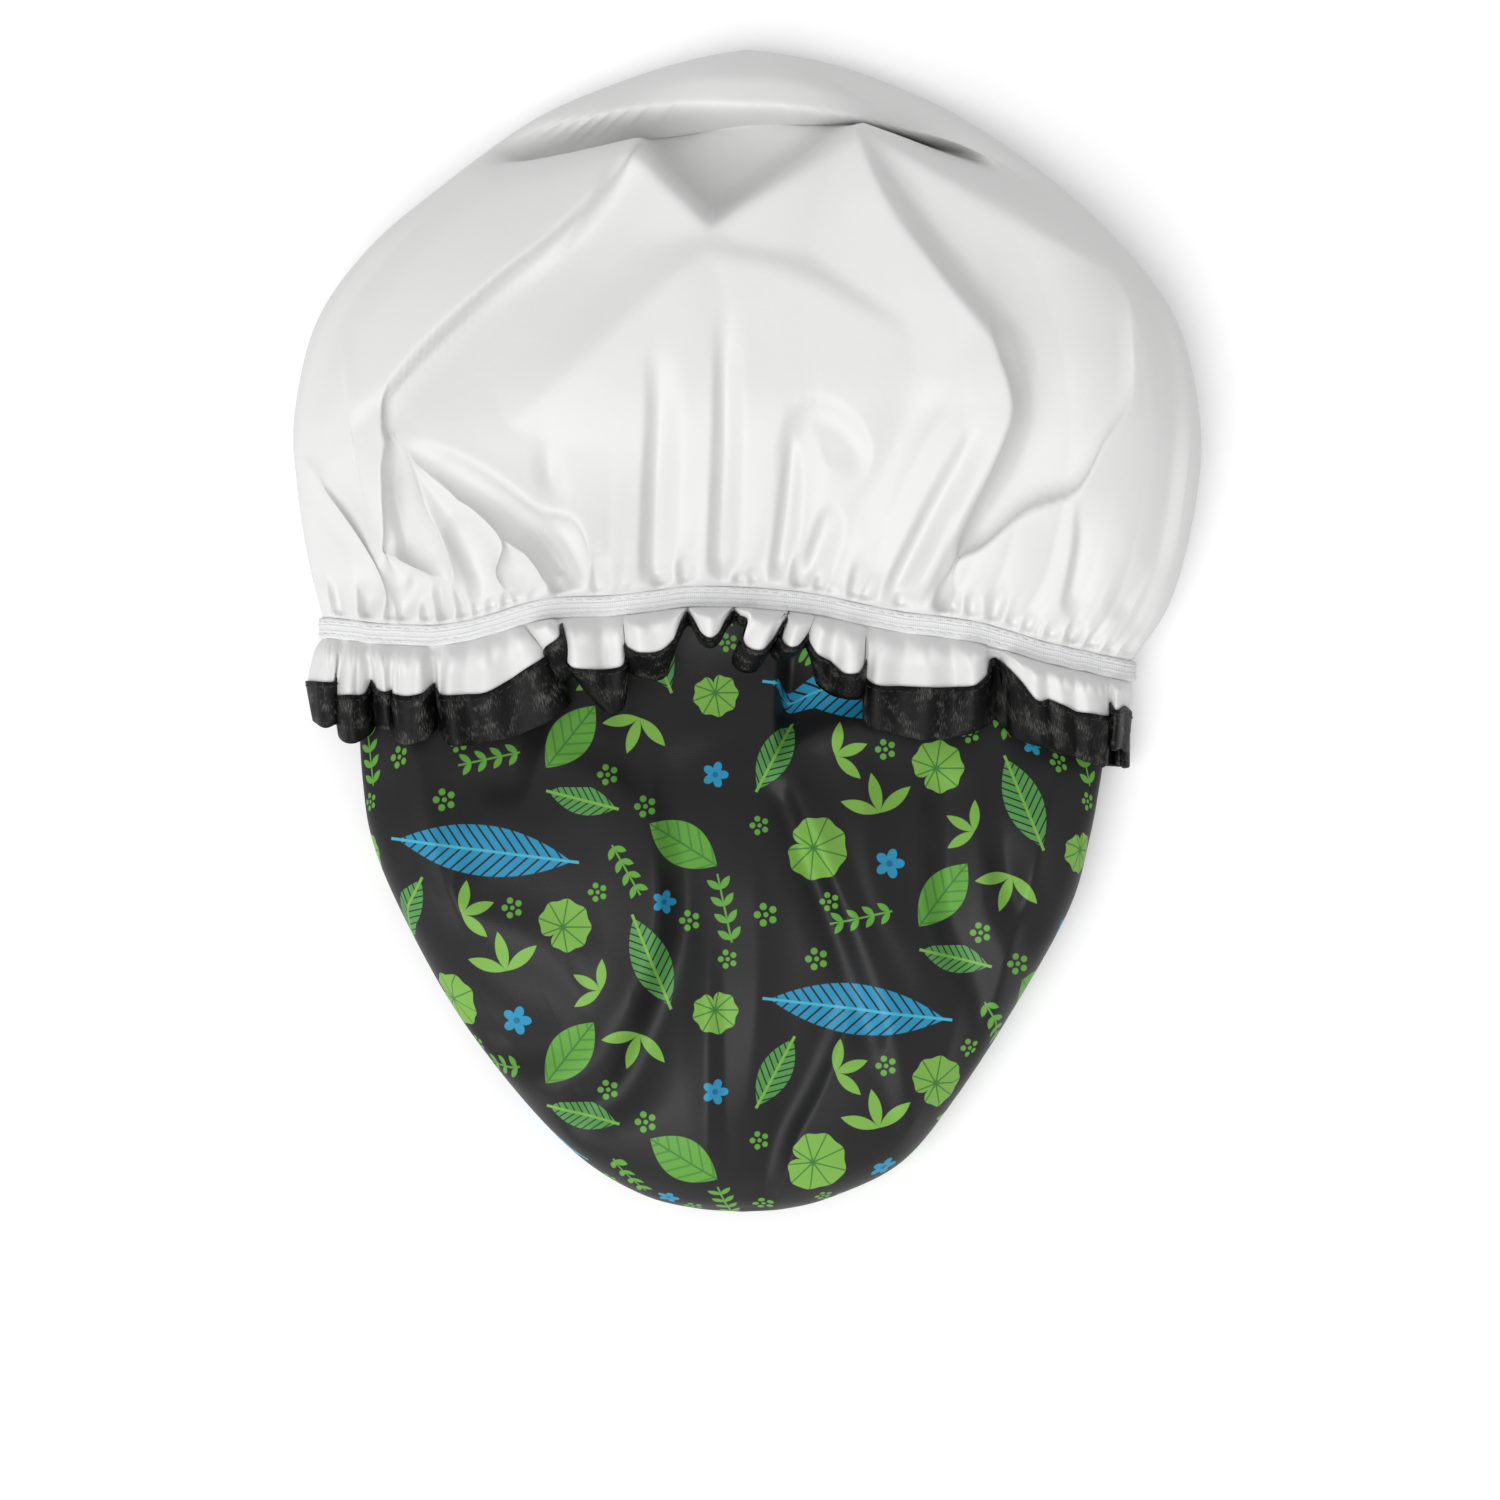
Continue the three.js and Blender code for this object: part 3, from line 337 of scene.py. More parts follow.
# Frill at the front, from left to right: x at the elastic, x and y at the top of the binding, x and
# y at its edge, and the kind of spot
FRILL_SPOTS = [
    (-135.6, -138.7, -16, -137.6, -28.5, "flank"), (-133, -135, -16.4, -134.5, -30.7, "mid"),
    (-130.2, -131.5, -16.3, -131, -29.5, "flank"), (-129.4, -131, -13.5, -130.7, -27, "dip"),
    (-128.6, -130.7, -20, -129.4, -34, "flank"), (-125, -126.4, -20.5, -125.2, -35.6, "crest"),
    (-121.9, -121.9, -20.2, -120.4, -33.2, "flank"), (-120.6, -119.6, -15.6, -118.6, -30, "dip"),
    (-119.5, -117.4, -18.6, -117.4, -30.6, "flank"), (-115.5, -114.8, -19.6, -114, -31.6, "mid"),
    (-113, -112.8, -19, -111.8, -31.8, "flank"), (-111.4, -111.8, -20.3, -110.8, -35, "mid"),
    (-107.5, -107.5, -21, -107, -36.2, "crest"), (-103, -102.8, -19.9, -101.6, -34.2, "mid"),
    (-100, -99.4, -16.8, -98, -31, "tuck"), (-97.4, -97.4, -20, -95, -35.6, "flank"),
    (-94, -94.6, -20.8, -92, -36.4, "crest"), (-88, -88.4, -20.4, -85, -35.8, "mid"),
    (-83, -82.4, -19.8, -79.6, -35, "crest"), (-77, -74, -15.2, -71, -32.6, "mid"),
    (-73.4, -67, -10.6, -61.6, -28, "crest"), (-71.6, -62.6, -7.8, -56.4, -23.4, "flank"),
    (-70.6, -63.6, -8.6, -58.6, -21, "dip"), (-68.4, -63.4, -5.6, -58, -16, "mid"),
    (-65.6, -59.4, -2.4, -53.4, -13.6, "crest"), (-63.4, -59.4, 1.4, -52.6, -11, "flank"),
    (-60.6, -58, 0.4, -51, -15.6, "tuck"), (-57.6, -57, -9.4, -54.6, -13.4, "flank"),
    (-54, -54.4, -12.1, -50.6, -19.5, "crest"), (-47, -46, -12.7, -43.6, -26.4, "crest"),
    (-41.6, -40, -11.8, -39.4, -25, "mid"), (-40.2, -38.5, -9.4, -38.4, -19.6, "flank"),
    (-39.4, -38.6, -4, -38.4, -14, "dip"), (-38.4, -37.9, -5.4, -37, -13.2, "flank"),
    (-34.6, -34, -7.2, -32.6, -15, "crest"), (-28.6, -27.6, -6.7, -26.8, -15.2, "crest"),
    (-22.8, -22.8, -2.6, -24, -9, "mid"), (-20, -20.4, 3.6, -21.6, -2, "flank"),
    (-18.7, -18.8, 5.8, -19.2, 1.6, "tuck"), (-17.5, -17, 3.6, -16.8, 1, "flank"),
    (-14.6, -14.4, -0.9, -14.4, -3.6, "mid"), (-11.4, -11.6, -2.6, -11.6, -5.4, "crest"),
    (-8, -8.8, -0.9, -9, -3.6, "mid"), (-5.4, -6.2, 4, -6.4, 1.4, "flank"),
    (-4.3, -4.2, 6.2, -4.4, 2.6, "tuck"), (-3.2, -2.4, 4.6, -2.2, 2, "flank"),
    (1, 0.4, 2.8, 0.4, -0.6, "mid"), (4.4, -0.8, -3.2, -4, -9, "mid"),
    (7, 1.2, -6, -2.2, -12.8, "crest"), (9.6, 5, -6.3, 2.4, -12.8, "crest"),
    (11.8, 8.2, -3, 6.4, -7, "flank"), (12.7, 12, 3.6, 11, 0, "flank"),
    (13.4, 13, 4.6, 12.6, 0, "tuck"), (14.4, 11.2, -2.4, 8, -7, "flank"),
    (16.6, 13.4, -5.4, 10, -9.4, "crest"), (19, 16.4, -5, 14.4, -8, "mid"),
    (20.8, 18.7, -2.2, 17.6, -5.6, "flank"), (21.6, 19.3, -1.4, 19, -5.6, "dip"),
    (22.8, 19.6, -3.4, 20.6, -8.6, "flank"), (25.4, 22.6, -8, 22.6, -17, "mid"),
    (28.4, 27, -10.4, 26.6, -20.4, "flank"), (31.6, 30.8, -13.7, 31, -21.6, "crest"),
    (35, 35, -13.7, 35.4, -21.8, "crest"), (37, 36.9, -11.4, 37, -20.4, "flank"),
    (38, 37.4, -8, 37.5, -18.6, "tuck"), (39.2, 37.5, -14.4, 37.4, -28.4, "flank"),
    (43, 41, -17.5, 41, -31.4, "crest"), (50, 48.6, -17.9, 48.6, -33.4, "mid"),
    (57, 57, -18.3, 56, -34.8, "crest"), (64, 65, -18.2, 64, -34, "mid"),
    (70.4, 71.6, -17.7, 71.4, -32.4, "crest"), (74.6, 75.8, -14.2, 76.4, -29.8, "flank"),
    (76.4, 76.8, -9.4, 79, -28, "tuck"), (79.4, 79.9, -9.2, 83, -32, "tuck"),
    (83, 82.6, -11.6, 85, -33.8, "flank"), (87, 87.4, -16.8, 89, -35.4, "mid"),
    (91, 91.8, -22.4, 93, -36.8, "crest"), (95, 95.4, -22, 97, -38, "mid"),
    (99, 99.6, -23.6, 101, -39.2, "crest"), (103.6, 104, -25.7, 105, -40.4, "mid"),
    (108, 108.8, -26.4, 109, -41.8, "crest"), (113, 115, -27, 113.8, -43, "flank"),
    (115, 115.7, -23, 115, -36, "dip"), (117.4, 117.2, -25.3, 116.6, -38, "mid"),
    (121.4, 120.3, -24.2, 119.6, -37.4, "flank"),
]
# Each kind of spot: height out from the waist at the top of the binding and at its edge
FRILL_KINDS = {
    "crest": (6.5, 3.6),
    "mid": (4.6, 2.4),
    "flank": (1.4, 0.6),
    "dip": (-3, -2),
    "tuck": (-4.5, -2.5),
    "back crest": (1.2, 1),
    "back dip": (-2.6, -3.4),
}
# How far the frill swells out between elastic and edge, how soon it leaves the waist, the roundness
# and lean of its swell, its plain waves at the back, where the sides turn from outwards to upwards,
# and how fast what only the front has fades in
FRILL_BULGE_SHARE = 0.26
FRILL_START = 2.6
FRILL_ROUNDNESS = 0.8
FRILL_LEAN = 0.45
BACK_FRILL_SHARE = 0.88
BACK_FRILL_WAVES = 24
UPWARD_RISE = 0.14
FRONT_RATE = 3
# Puckers between the lobes, within the first part of the frill: height, waves, drift and its knots
PUCKER_HEIGHT = 1.2
PUCKER_LIFT = 0.8
PUCKER_WAVES = 54
PUCKER_DRIFT = 2
PUCKER_KNOTS = 40
PUCKER_REACH_SHARE = 1 / 3
# Unevenness at the top of the binding and at its edge: height, and knots round the waist
TOP_UNEVENNESS = (0.9, 90)
EDGE_UNEVENNESS = (1.2, 70)
# How far the film ends short of the frill's edge, inside the binding
FRILL_TURN_IN = 1


def smooth(low, high, value):
    """Smooth change from 0 to 1 between two limits."""
    share = np.clip((value - low) / (high - low), 0, 1)
    return share * share * (3 - 2 * share)


def spline(points, shares):
    """Smooth curve through points, sampled at shares from 0 to 1."""
    points = np.asarray(points, float)
    padded = np.vstack([2 * points[0] - points[1], points, 2 * points[-1] - points[-2]])
    place = np.clip(np.asarray(shares, float), 0, 1) * (len(points) - 1)
    step = np.minimum(place.astype(int), len(points) - 2)
    t = (place - step)[:, None]
    a, b, c, d = (padded[step + k] for k in range(4))
    return b + t / 2 * (c - a + t * (2 * a - 5 * b + 4 * c - d + t * (3 * (b - c) + d - a)))


def arch_at(across):
    """Height of the seam's arch above the straight line between its ends."""
    fine = spline(SEAM_LINE_SHARES, np.linspace(0, 1, ARCH_STEPS))
    share = np.interp(2 * across - 1, fine[:, 0], fine[:, 1])
    return (share - LEFT_SEAM_SHARE - (RIGHT_SEAM_SHARE - LEFT_SEAM_SHARE) * across) * WAIST_ARCH


def loop_points(left, right, top, back, arch, turns):
    """Closed loop round a flattened bag: over the front from right to left, and back underneath."""
    across = (1 + np.cos(turns)) / 2
    rise = np.sin(turns)
    points = left + (right - left) * across[:, None]
    front = rise >= 0
    swell = np.abs(rise)
    over = (top - points[:, 2]) * swell ** OVER_POWER
    under = (points[:, 2] - back) * np.minimum(1, UNDER_FULLNESS * swell ** UNDER_POWER)
    points[:, 2] += np.where(front, over, -under)
    points[:, 1] += np.where(front, arch * arch_at(across) * smooth(0, ARCH_RISE_SHARE, rise), 0)
    return points


def waist_ends(inset, shift):
    """Ends and heights of the waist loop, drawn in by a depth and moved along y."""
    left = [WAIST_CENTRE_X - WAIST_HALF_WIDTH + inset, LEFT_SEAM_SHARE * WAIST_ARCH + shift]
    right = [WAIST_CENTRE_X + WAIST_HALF_WIDTH - inset, RIGHT_SEAM_SHARE * WAIST_ARCH + shift]
    ends = [np.array([*end, WAIST_SIDE_HEIGHT]) for end in (left, right)]
    return ends, WAIST_FRONT_HEIGHT - inset, WAIST_BACK_HEIGHT + inset


def waist_points(turns, inset=0):
    (left, right), top, back = waist_ends(inset, 0)
    return loop_points(left, right, top, back, 1, turns)


def waist_outward(turns):
    """Outward direction of the waist, square to it and to y."""
    along = waist_points(turns + OUTWARD_STEP) - waist_points(turns - OUTWARD_STEP)
    outward = np.stack([along[:, 2], np.zeros(len(turns)), -along[:, 0]], axis=1)
    return outward / np.linalg.norm(outward, axis=1, keepdims=True)


def column_turns():
    front = math.pi * np.arange(FRONT_COLUMNS) / FRONT_COLUMNS
    back = math.pi * (1 + np.arange(BACK_COLUMNS) / BACK_COLUMNS)
    return np.concatenate([front, back])


TURNS = column_turns()
RISE = np.maximum(0, np.sin(TURNS))


def wander(count, rng, places):
    """Smooth random values from -1 to 1 along the closed waist."""
    knots = rng.uniform(-1, 1, count)
    place = places / (2 * math.pi) * count
    low = np.floor(place).astype(int)
    t = place - low
    t = t * t * (3 - 2 * t)
    return knots[low % count] * (1 - t) + knots[(low + 1) % count] * t


def fold_shifts(folds, x, y, tuck_share):
    """How a group of folds moves a bag's points: sideways in x and y, and up or down.

    The highest ridge and the deepest valley count at each place. A ridge is sharp along its path and
    fades to both sides. A valley has a sharp brink on its narrow side. Where a ridge fades fast, the
    cloth is tucked under it."""
    shifts = np.zeros((*x.shape, 3))
    ridges = np.zeros_like(x)
    valleys = np.zeros_like(x)
    for path, left_spread, right_spread in folds:
        path = spline(path, np.linspace(0, 1, FOLD_STEPS * (len(path) - 1) + 1))
        reach = max(left_spread, right_spread)
        low, high = path[:, :2].min(axis=0) - reach, path[:, :2].max(axis=0) + reach
        near = (x > low[0]) & (x < high[0]) & (y > low[1]) & (y < high[1])
        height, tuck = one_fold(path, left_spread, right_spread, x[near], y[near])
        ridges[near] = np.maximum(ridges[near], height)
        valleys[near] = np.minimum(valleys[near], height)
        shifts[near, :2] += tuck_share * tuck
    shifts[..., 2] = ridges + valleys
    return shifts


def one_fold(path, left_spread, right_spread, x, y):
    """Height of one fold at some places, and the tuck beside it."""
    best = np.full(x.shape, np.inf)
    side, height, across_x, across_y = (np.zeros_like(x) for _ in range(4))
    for start, end in zip(path[:-1], path[1:]):
        run = end[:2] - start[:2]
        length = np.linalg.norm(run)
        dx, dy = x - start[0], y - start[1]
        share = np.clip((dx * run[0] + dy * run[1]) / length ** 2, 0, 1)
        distance = np.hypot(dx - share * run[0], dy - share * run[1])
        nearer = distance < best
        best = np.where(nearer, distance, best)
        aside = (run[0] * dy - run[1] * dx) / length / np.maximum(distance, FOLD_ROUNDING)
        side = np.where(nearer, aside, side)
        height = np.where(nearer, start[2] + (end[2] - start[2]) * share, height)
        across_x = np.where(nearer, -run[1] / length, across_x)
        across_y = np.where(nearer, run[0] / length, across_y)
    left = (1 + side) / 2
    spread = left_spread * left + right_spread * (1 - left)
    away = np.minimum(1, np.hypot(best, FOLD_ROUNDING) / spread)
    widest, narrowest = max(left_spread, right_spread), min(left_spread, right_spread)
    narrow = np.where(height < 0, (widest - spread) / max(widest - narrowest, FOLD_ROUNDING), 0)
    fade = (1 - away) ** FOLD_FADE_POWER * (1 - narrow) + (1 - away ** 2) * narrow
    tuck = 4 * away * (1 - away) * spread * (1 - smooth(TUCK_SPREAD, TUCK_WIDE_SHARE * TUCK_SPREAD, spread))
    tuck = np.where(height > 0, -tuck * side * smooth(0, TUCK_FULL_HEIGHT, height), 0)
    return height * fade, np.stack([tuck * across_x, tuck * across_y], axis=-1)


def pocket_depth(x, y):
    """Depth of the pocket that opens behind the peaks of the liner's front."""
    middle_x, middle_y, half_width, half_height, depth = POCKET_BOWL
    away = ((x - middle_x) / half_width) ** 2 + ((y - middle_y) / half_height) ** 2
    rim = np.interp(x, *np.transpose(POCKET_RIM))
    return depth * np.maximum(0, 1 - away) ** POCKET_FALL * smooth(0, POCKET_EDGE, y - rim)


def roof_lip(x, y):
    """How far the roof over the pocket comes forward, to hang over it."""
    left_start, left_end, right_start, right_end = ROOF_SIDES
    across = smooth(left_start, left_end, x) * (1 - smooth(right_start, right_end, x))
    behind = y - np.interp(x, *np.transpose(ROOF_EDGE))
    return ROOF_LIP * smooth(*ROOF_LIP_START, behind) * (1 - smooth(*ROOF_LIP_END, behind)) * across


def relaxed(grid, passes):
    """Grid with its jagged spots evened out, its first and last loops kept."""
    grid = grid.copy()
    for _ in range(passes):
        around = (np.roll(grid, 1, axis=1) + 2 * grid + np.roll(grid, -1, axis=1)) / 4
        grid[1:-1] = (around[:-2] + 2 * around[1:-1] + around[2:]) / 4
    return grid


def gather_height(distance, rng):
    """Puckers that fan out from the elastic, short and fine or long and broad."""
    total = EDGE_BULGE * (1 - np.exp(-distance / EDGE_BULGE_START)) * np.exp(-distance / EDGE_BULGE_REACH)
    even, uneven = GATHER_STRENGTH_SHARES
    for count, size, start, reach in GATHERS:
        drift = wander(count // 2, rng, TURNS) * GATHER_DRIFT
        pucker = np.abs(np.sin(count / 2 * TURNS + drift)) ** GATHER_POWER - GATHER_MIDDLE_SHARE
        strength = even + uneven * wander(count // 3, rng, TURNS)
        long = reach * (1 + GATHER_REACH_SHARE * wander(count // 3, rng, TURNS))
        fade = (1 - np.exp(-distance / start)) * np.exp(-distance / long)
        total = total + size * pucker * strength * fade
    return total


def creases(x, y, rng, count, length, size):
    """Faint straight creases scattered over a bag, as folds."""
    made = []
    for _ in range(count):
        middle = rng.uniform((x.min(), y.min()), (x.max(), y.max()))
        angle = rng.uniform(0, math.pi)
        run = np.array([math.cos(angle), math.sin(angle)]) * length * rng.uniform(*CREASE_LENGTH_SHARES)
        bend = middle + np.array([-run[1], run[0]]) * rng.uniform(-CREASE_BEND_SHARE, CREASE_BEND_SHARE)
        height = size * rng.uniform(-1, 1)
        path = [(*(middle - run), height * CREASE_END_SHARE), (*bend, height), (*(middle + run), 0)]
        spread = rng.uniform(*CREASE_SPREAD)
        made.append((path, spread, spread * rng.uniform(*CREASE_SIDE_SHARES)))
    return made


def bag_grid(rows, half_width, centre_x, reach, depth, direction, inset, start, row_places):
    """Grid of closed loops from the waist to the tip of one bag, smooth."""
    (left, right), top, back = waist_ends(inset, direction * start)
    table = [[*left, *right, top, back]]
    for left_x, left_y, right_x, right_y, edge, high, low in rows:
        table.append([
            centre_x + left_x * half_width, direction * left_y * reach, edge * depth,
            centre_x + right_x * half_width, direction * right_y * reach, edge * depth,
            high * depth, TABLE_GAP + low * depth,
        ])
    levels = spline(table, row_places)
    loops = []
    for place, level in zip(row_places, levels):
        arch = 1 - smooth(0, ARCH_REACH_SHARE, place)
        low = max(level[7], TABLE_GAP)
        loops.append(loop_points(level[0:3], level[3:6], level[6], low, arch, TURNS))
    return np.array(loops)


def row_places(count):
    """Places of a bag's rows, closer together near the waist and near the tip."""
    even = np.arange(count) / count
    return even - ROW_CROWDING_SHARE * np.sin(2 * math.pi * even)


def underside_lift(x, y, distance, rng):
    """Height by which gathers and creases lift the underside of a bag off the table."""
    drift = BACK_GATHER_DRIFT * wander(BACK_GATHERS, rng, TURNS)
    pucker = np.abs(np.sin(BACK_GATHERS / 2 * TURNS + drift))
    gathers = BACK_GATHER_HEIGHT * (1 - pucker) * np.exp(-distance / BACK_GATHER_REACH)
    faint = np.abs(fold_shifts(creases(x, y, rng, *BACK_CREASES), x, y, 0)[..., 2])
    lift = gathers * smooth(*BACK_GATHER_START, distance) + faint * smooth(*BACK_CREASE_START, distance)
    return lift * smooth(*BACK_SIDE_SHARES, -np.sin(TURNS))


def tuck_fold(base, tip, top, depth, left, right):
    """A tuck between two gathers as a fold, from its tip down to the elastic."""
    foot = np.array([base, seam_y(base) + ELASTIC_HALF])
    middle = foot + (np.array([tip, top]) - foot) * TUCK_MIDDLE_SHARE
    return [(tip, top, TUCK_TIP_SHARE * depth), (*middle, depth), (*foot, depth)], right, left


def liner_grid(rng):
    """The liner's bag with its folds, tucks, gathers and pocket."""
    places = row_places(BAG_ROWS)
    grid = bag_grid(LINER_ROW_SHARES, LINER_HALF_WIDTH, 0, LINER_REACH, LINER_DEPTH, 1, 0,
                    ELASTIC_HALF, places)
    x, y = grid[..., 0], grid[..., 1]
    distance = np.maximum(0, y - grid[0, :, 1])
    near_tip = smooth(0, TIP_SHARE, 1 - places)[:, None]
    tucks = [tuck_fold(*tuck) for tuck in LINER_TUCKS]
    side = near_tip * np.minimum(1, RISE * LINER_SIDE_RATE)
    faint = creases(x, y, rng, *LINER_CREASES)
    shifts = fold_shifts(LINER_FOLDS, x, y, FOLD_TUCK_SHARE) * smooth(*LINER_FOLD_START, distance)[..., None]
    shifts += fold_shifts(tucks, x, y, 0) * smooth(*LINER_TUCK_START, distance)[..., None]
    shifts += fold_shifts(faint, x, y, 0) * smooth(*LINER_CREASE_START, distance)[..., None]
    shifts[..., 2] += gather_height(distance, rng) - pocket_depth(x, y)
    shifts[..., 1] -= roof_lip(x, y)
    shifts *= side[..., None]
    shifts[..., 2] += underside_lift(x, y, distance, rng) * near_tip
    folded = relaxed(grid + shifts, LINER_PASSES)
    far = smooth(*POCKET_REACH, y)[..., None]
    return folded * (1 - far) + relaxed(folded, POCKET_PASSES) * far


def shell_grid(rng):
    """The shell's bag with its soft folds."""
    places = row_places(BAG_ROWS)
    grid = bag_grid(SHELL_ROW_SHARES, SHELL_HALF_WIDTH, SHELL_CENTRE_X, SHELL_REACH, SHELL_DEPTH, -1,
                    -SHELL_LEVEL, -SHELL_START_SHARE * ELASTIC_WIDTH, places)
    x, y = grid[..., 0], grid[..., 1]
    distance = np.maximum(0, grid[0, :, 1] - y)
    near_tip = smooth(0, TIP_SHARE, 1 - places)[:, None]
    faint = creases(x, y, rng, *SHELL_CREASES)
    shifts = fold_shifts(SHELL_FOLDS, x, y, 0) * smooth(*SHELL_FOLD_START, distance)[..., None]
    shifts += fold_shifts(faint, x, y, 0) * smooth(*SHELL_CREASE_START, distance)[..., None]
    shifts *= (near_tip * np.minimum(1, RISE * SHELL_SIDE_RATE))[..., None]
    shifts[..., 2] += underside_lift(x, y, distance, rng) * near_tip
    return relaxed(grid + shifts, SHELL_PASSES)


def seam_y(x):
    """Place of the front seam's middle along y, at a place across."""
    across = (x - WAIST_CENTRE_X + WAIST_HALF_WIDTH) / (2 * WAIST_HALF_WIDTH)
    straight = LEFT_SEAM_SHARE + (RIGHT_SEAM_SHARE - LEFT_SEAM_SHARE) * across
    return straight * WAIST_ARCH + float(arch_at(np.array([across]))[0])


def frill_offsets():
    """Offsets from the elastic in every column: x and y at the top of the binding and at its edge,
    and the heights out from the waist there."""
    rows = []
    for base_x, *spots, kind in FRILL_SPOTS:
        turn = math.acos(np.clip((base_x - WAIST_CENTRE_X) / WAIST_HALF_WIDTH, -1, 1))
        base = waist_points(np.array([turn]))[0, :2] - (0, ELASTIC_HALF)
        rows.append((turn, *(np.array(spots) - np.tile(base, 2)), *FRILL_KINDS[kind]))
    straight = BACK_FRILL_SHARE * np.array([0, ELASTIC_HALF - HEM_TOP, 0, ELASTIC_HALF - FRILL_DEPTH])
    for i in range(2 * BACK_FRILL_WAVES + 1):
        turn = math.pi * (1 + (i + 0.5) / (2 * BACK_FRILL_WAVES + 2))
        rows.append((turn, *straight, *FRILL_KINDS["back crest" if i % 2 else "back dip"]))
    table = np.array(sorted(rows))
    full_turn = np.eye(len(table[0]))[0] * 2 * math.pi
    table = np.vstack([table[-2:] - full_turn, table, table[:2] + full_turn])
    steps = np.interp(TURNS, table[:, 0], np.arange(len(table)))
    return spline(table[:, 1:], steps / (len(table) - 1))


def frill_grid(distances, rng):
    """The frill's film from the elastic's upper edge outwards, at distances from the seam's middle."""
    offsets = frill_offsets()
    top, edge, top_height, edge_height = offsets[:, :2], offsets[:, 2:4], offsets[:, 4], offsets[:, 5]
    span = FRILL_DEPTH - ELASTIC_HALF
    hem_share = (HEM_TOP - ELASTIC_HALF) / span
    upward = smooth(0, UPWARD_RISE, RISE)[:, None]
    outward = waist_outward(TURNS) * (1 - upward) + np.array([0, 0, 1]) * upward
    outward /= np.linalg.norm(outward, axis=1, keepdims=True)
    front = np.minimum(1, FRONT_RATE * RISE)
    seen = np.hypot(*edge.T)
    bulge = FRILL_BULGE_SHARE * np.sqrt(np.maximum(0, span ** 2 - seen ** 2)) * front
    drift = PUCKER_DRIFT * wander(PUCKER_KNOTS, rng, TURNS)
    pucker = PUCKER_HEIGHT * (np.abs(np.sin(PUCKER_WAVES * TURNS + drift)) - 0.5)
    (top_size, top_knots), (edge_size, edge_knots) = TOP_UNEVENNESS, EDGE_UNEVENNESS
    top_height = top_height + top_size * front * wander(top_knots, rng, TURNS)
    edge_height = edge_height + edge_size * front * wander(edge_knots, rng, TURNS)
    base = waist_points(TURNS)
    loops = []
    for distance in distances:
        share = max(0, distance - ELASTIC_HALF) / span
        below = max(0, share - hem_share) / (1 - hem_share)
        out = top_height + (edge_height - top_height) * below
        out += bulge * math.sin(math.pi * min(1, share) ** FRILL_LEAN) ** FRILL_ROUNDNESS
        out *= 1 - math.exp(-share * span / FRILL_START)
        if share < PUCKER_REACH_SHARE:
            out += front * (pucker + PUCKER_LIFT) * math.sin(math.pi * share / PUCKER_REACH_SHARE) ** 2
        loop = base + outward * out[:, None]
        loop[:, :2] += top * min(1, share / hem_share) + (edge - top) * below
        loop[:, 1] -= min(distance, ELASTIC_HALF)
        loops.append(loop)
    return np.array(loops)


def grid_normals(grid, direction):
    """Outward normals of a grid of closed loops."""
    down = np.gradient(grid, axis=0)
    around = np.roll(grid, -1, axis=1) - np.roll(grid, 1, axis=1)
    normals = np.cross(down, around) * direction
    return normals / np.maximum(np.linalg.norm(normals, axis=2, keepdims=True), TINY)


def grid_mesh(name, grid, uv=None, tip=None, closed_section=False):
    """Mesh of a grid whose columns close into loops, with an optional tip after the last loop."""
    rows, columns = grid.shape[:2]
    points = grid.reshape(-1, 3)
    if tip is not None:
        points = np.vstack([points, tip])
    i, j = np.meshgrid(np.arange(rows if closed_section else rows - 1), np.arange(columns), indexing="ij")
    following = (i + 1) % rows
    corners = [i * columns + j, i * columns + (j + 1) % columns,
               following * columns + (j + 1) % columns, following * columns + j]
    faces = np.stack(corners, axis=-1).reshape(-1, 4).tolist()
    if tip is not None:
        last = (rows - 1) * columns
        faces += [[last + j, last + (j + 1) % columns, rows * columns] for j in range(columns)]
    return mesh_piece(name, points, faces, uv)


def mesh_piece(name, points, faces, uv=None):
    """Piece with smooth faces and, where asked, cloth coordinates for each point."""
    mesh = bpy.data.meshes.new(name)
    mesh.from_pydata((points * MM).tolist(), [], faces)
    mesh.polygons.foreach_set("use_smooth", [True] * len(mesh.polygons))
    if uv is not None:
        layer = mesh.uv_layers.new(name="cloth")
        places = np.empty(len(mesh.loops), int)
        mesh.loops.foreach_get("vertex_index", places)
        layer.data.foreach_set("uv", (uv[places] * MM).astype(np.float32).ravel())
    mesh.update()
    piece = bpy.data.objects.new(name, mesh)
    bpy.context.scene.collection.objects.link(piece)
    turn_outwards(piece)
    return piece


def turn_outwards(piece):
    """Makes the faces of a closed or nearly closed mesh point out of it."""
    work = bmesh.new()
    work.from_mesh(piece.data)
    bmesh.ops.recalc_face_normals(work, faces=work.faces)
    work.to_mesh(piece.data)
    work.free()


def cloth_places(grid, shift):
    """Print coordinates of a grid: where each point lies on the table, moved along by a shift.

    Where the cloth falls to the table at the side, its print runs on outwards."""
    points = grid.reshape(-1, 3)
    away = points[:, :2] - BAG_MIDDLE
    away /= np.linalg.norm(away, axis=1, keepdims=True)
    fall = np.maximum(0, PRINT_FALL_HEIGHT - points[:, 2:])
    return points[:, :2] + away * fall + (0, shift)


def frill_distances():
    """Rows of the frill from its edge in the binding up to the elastic's upper edge."""
    free = np.linspace(FRILL_DEPTH - FRILL_TURN_IN, ELASTIC_HALF, FRILL_ROWS)
    band = np.linspace(ELASTIC_HALF, -ELASTIC_HALF, BAND_ROWS + 1)[1:-1]
    return np.concatenate([free, band])


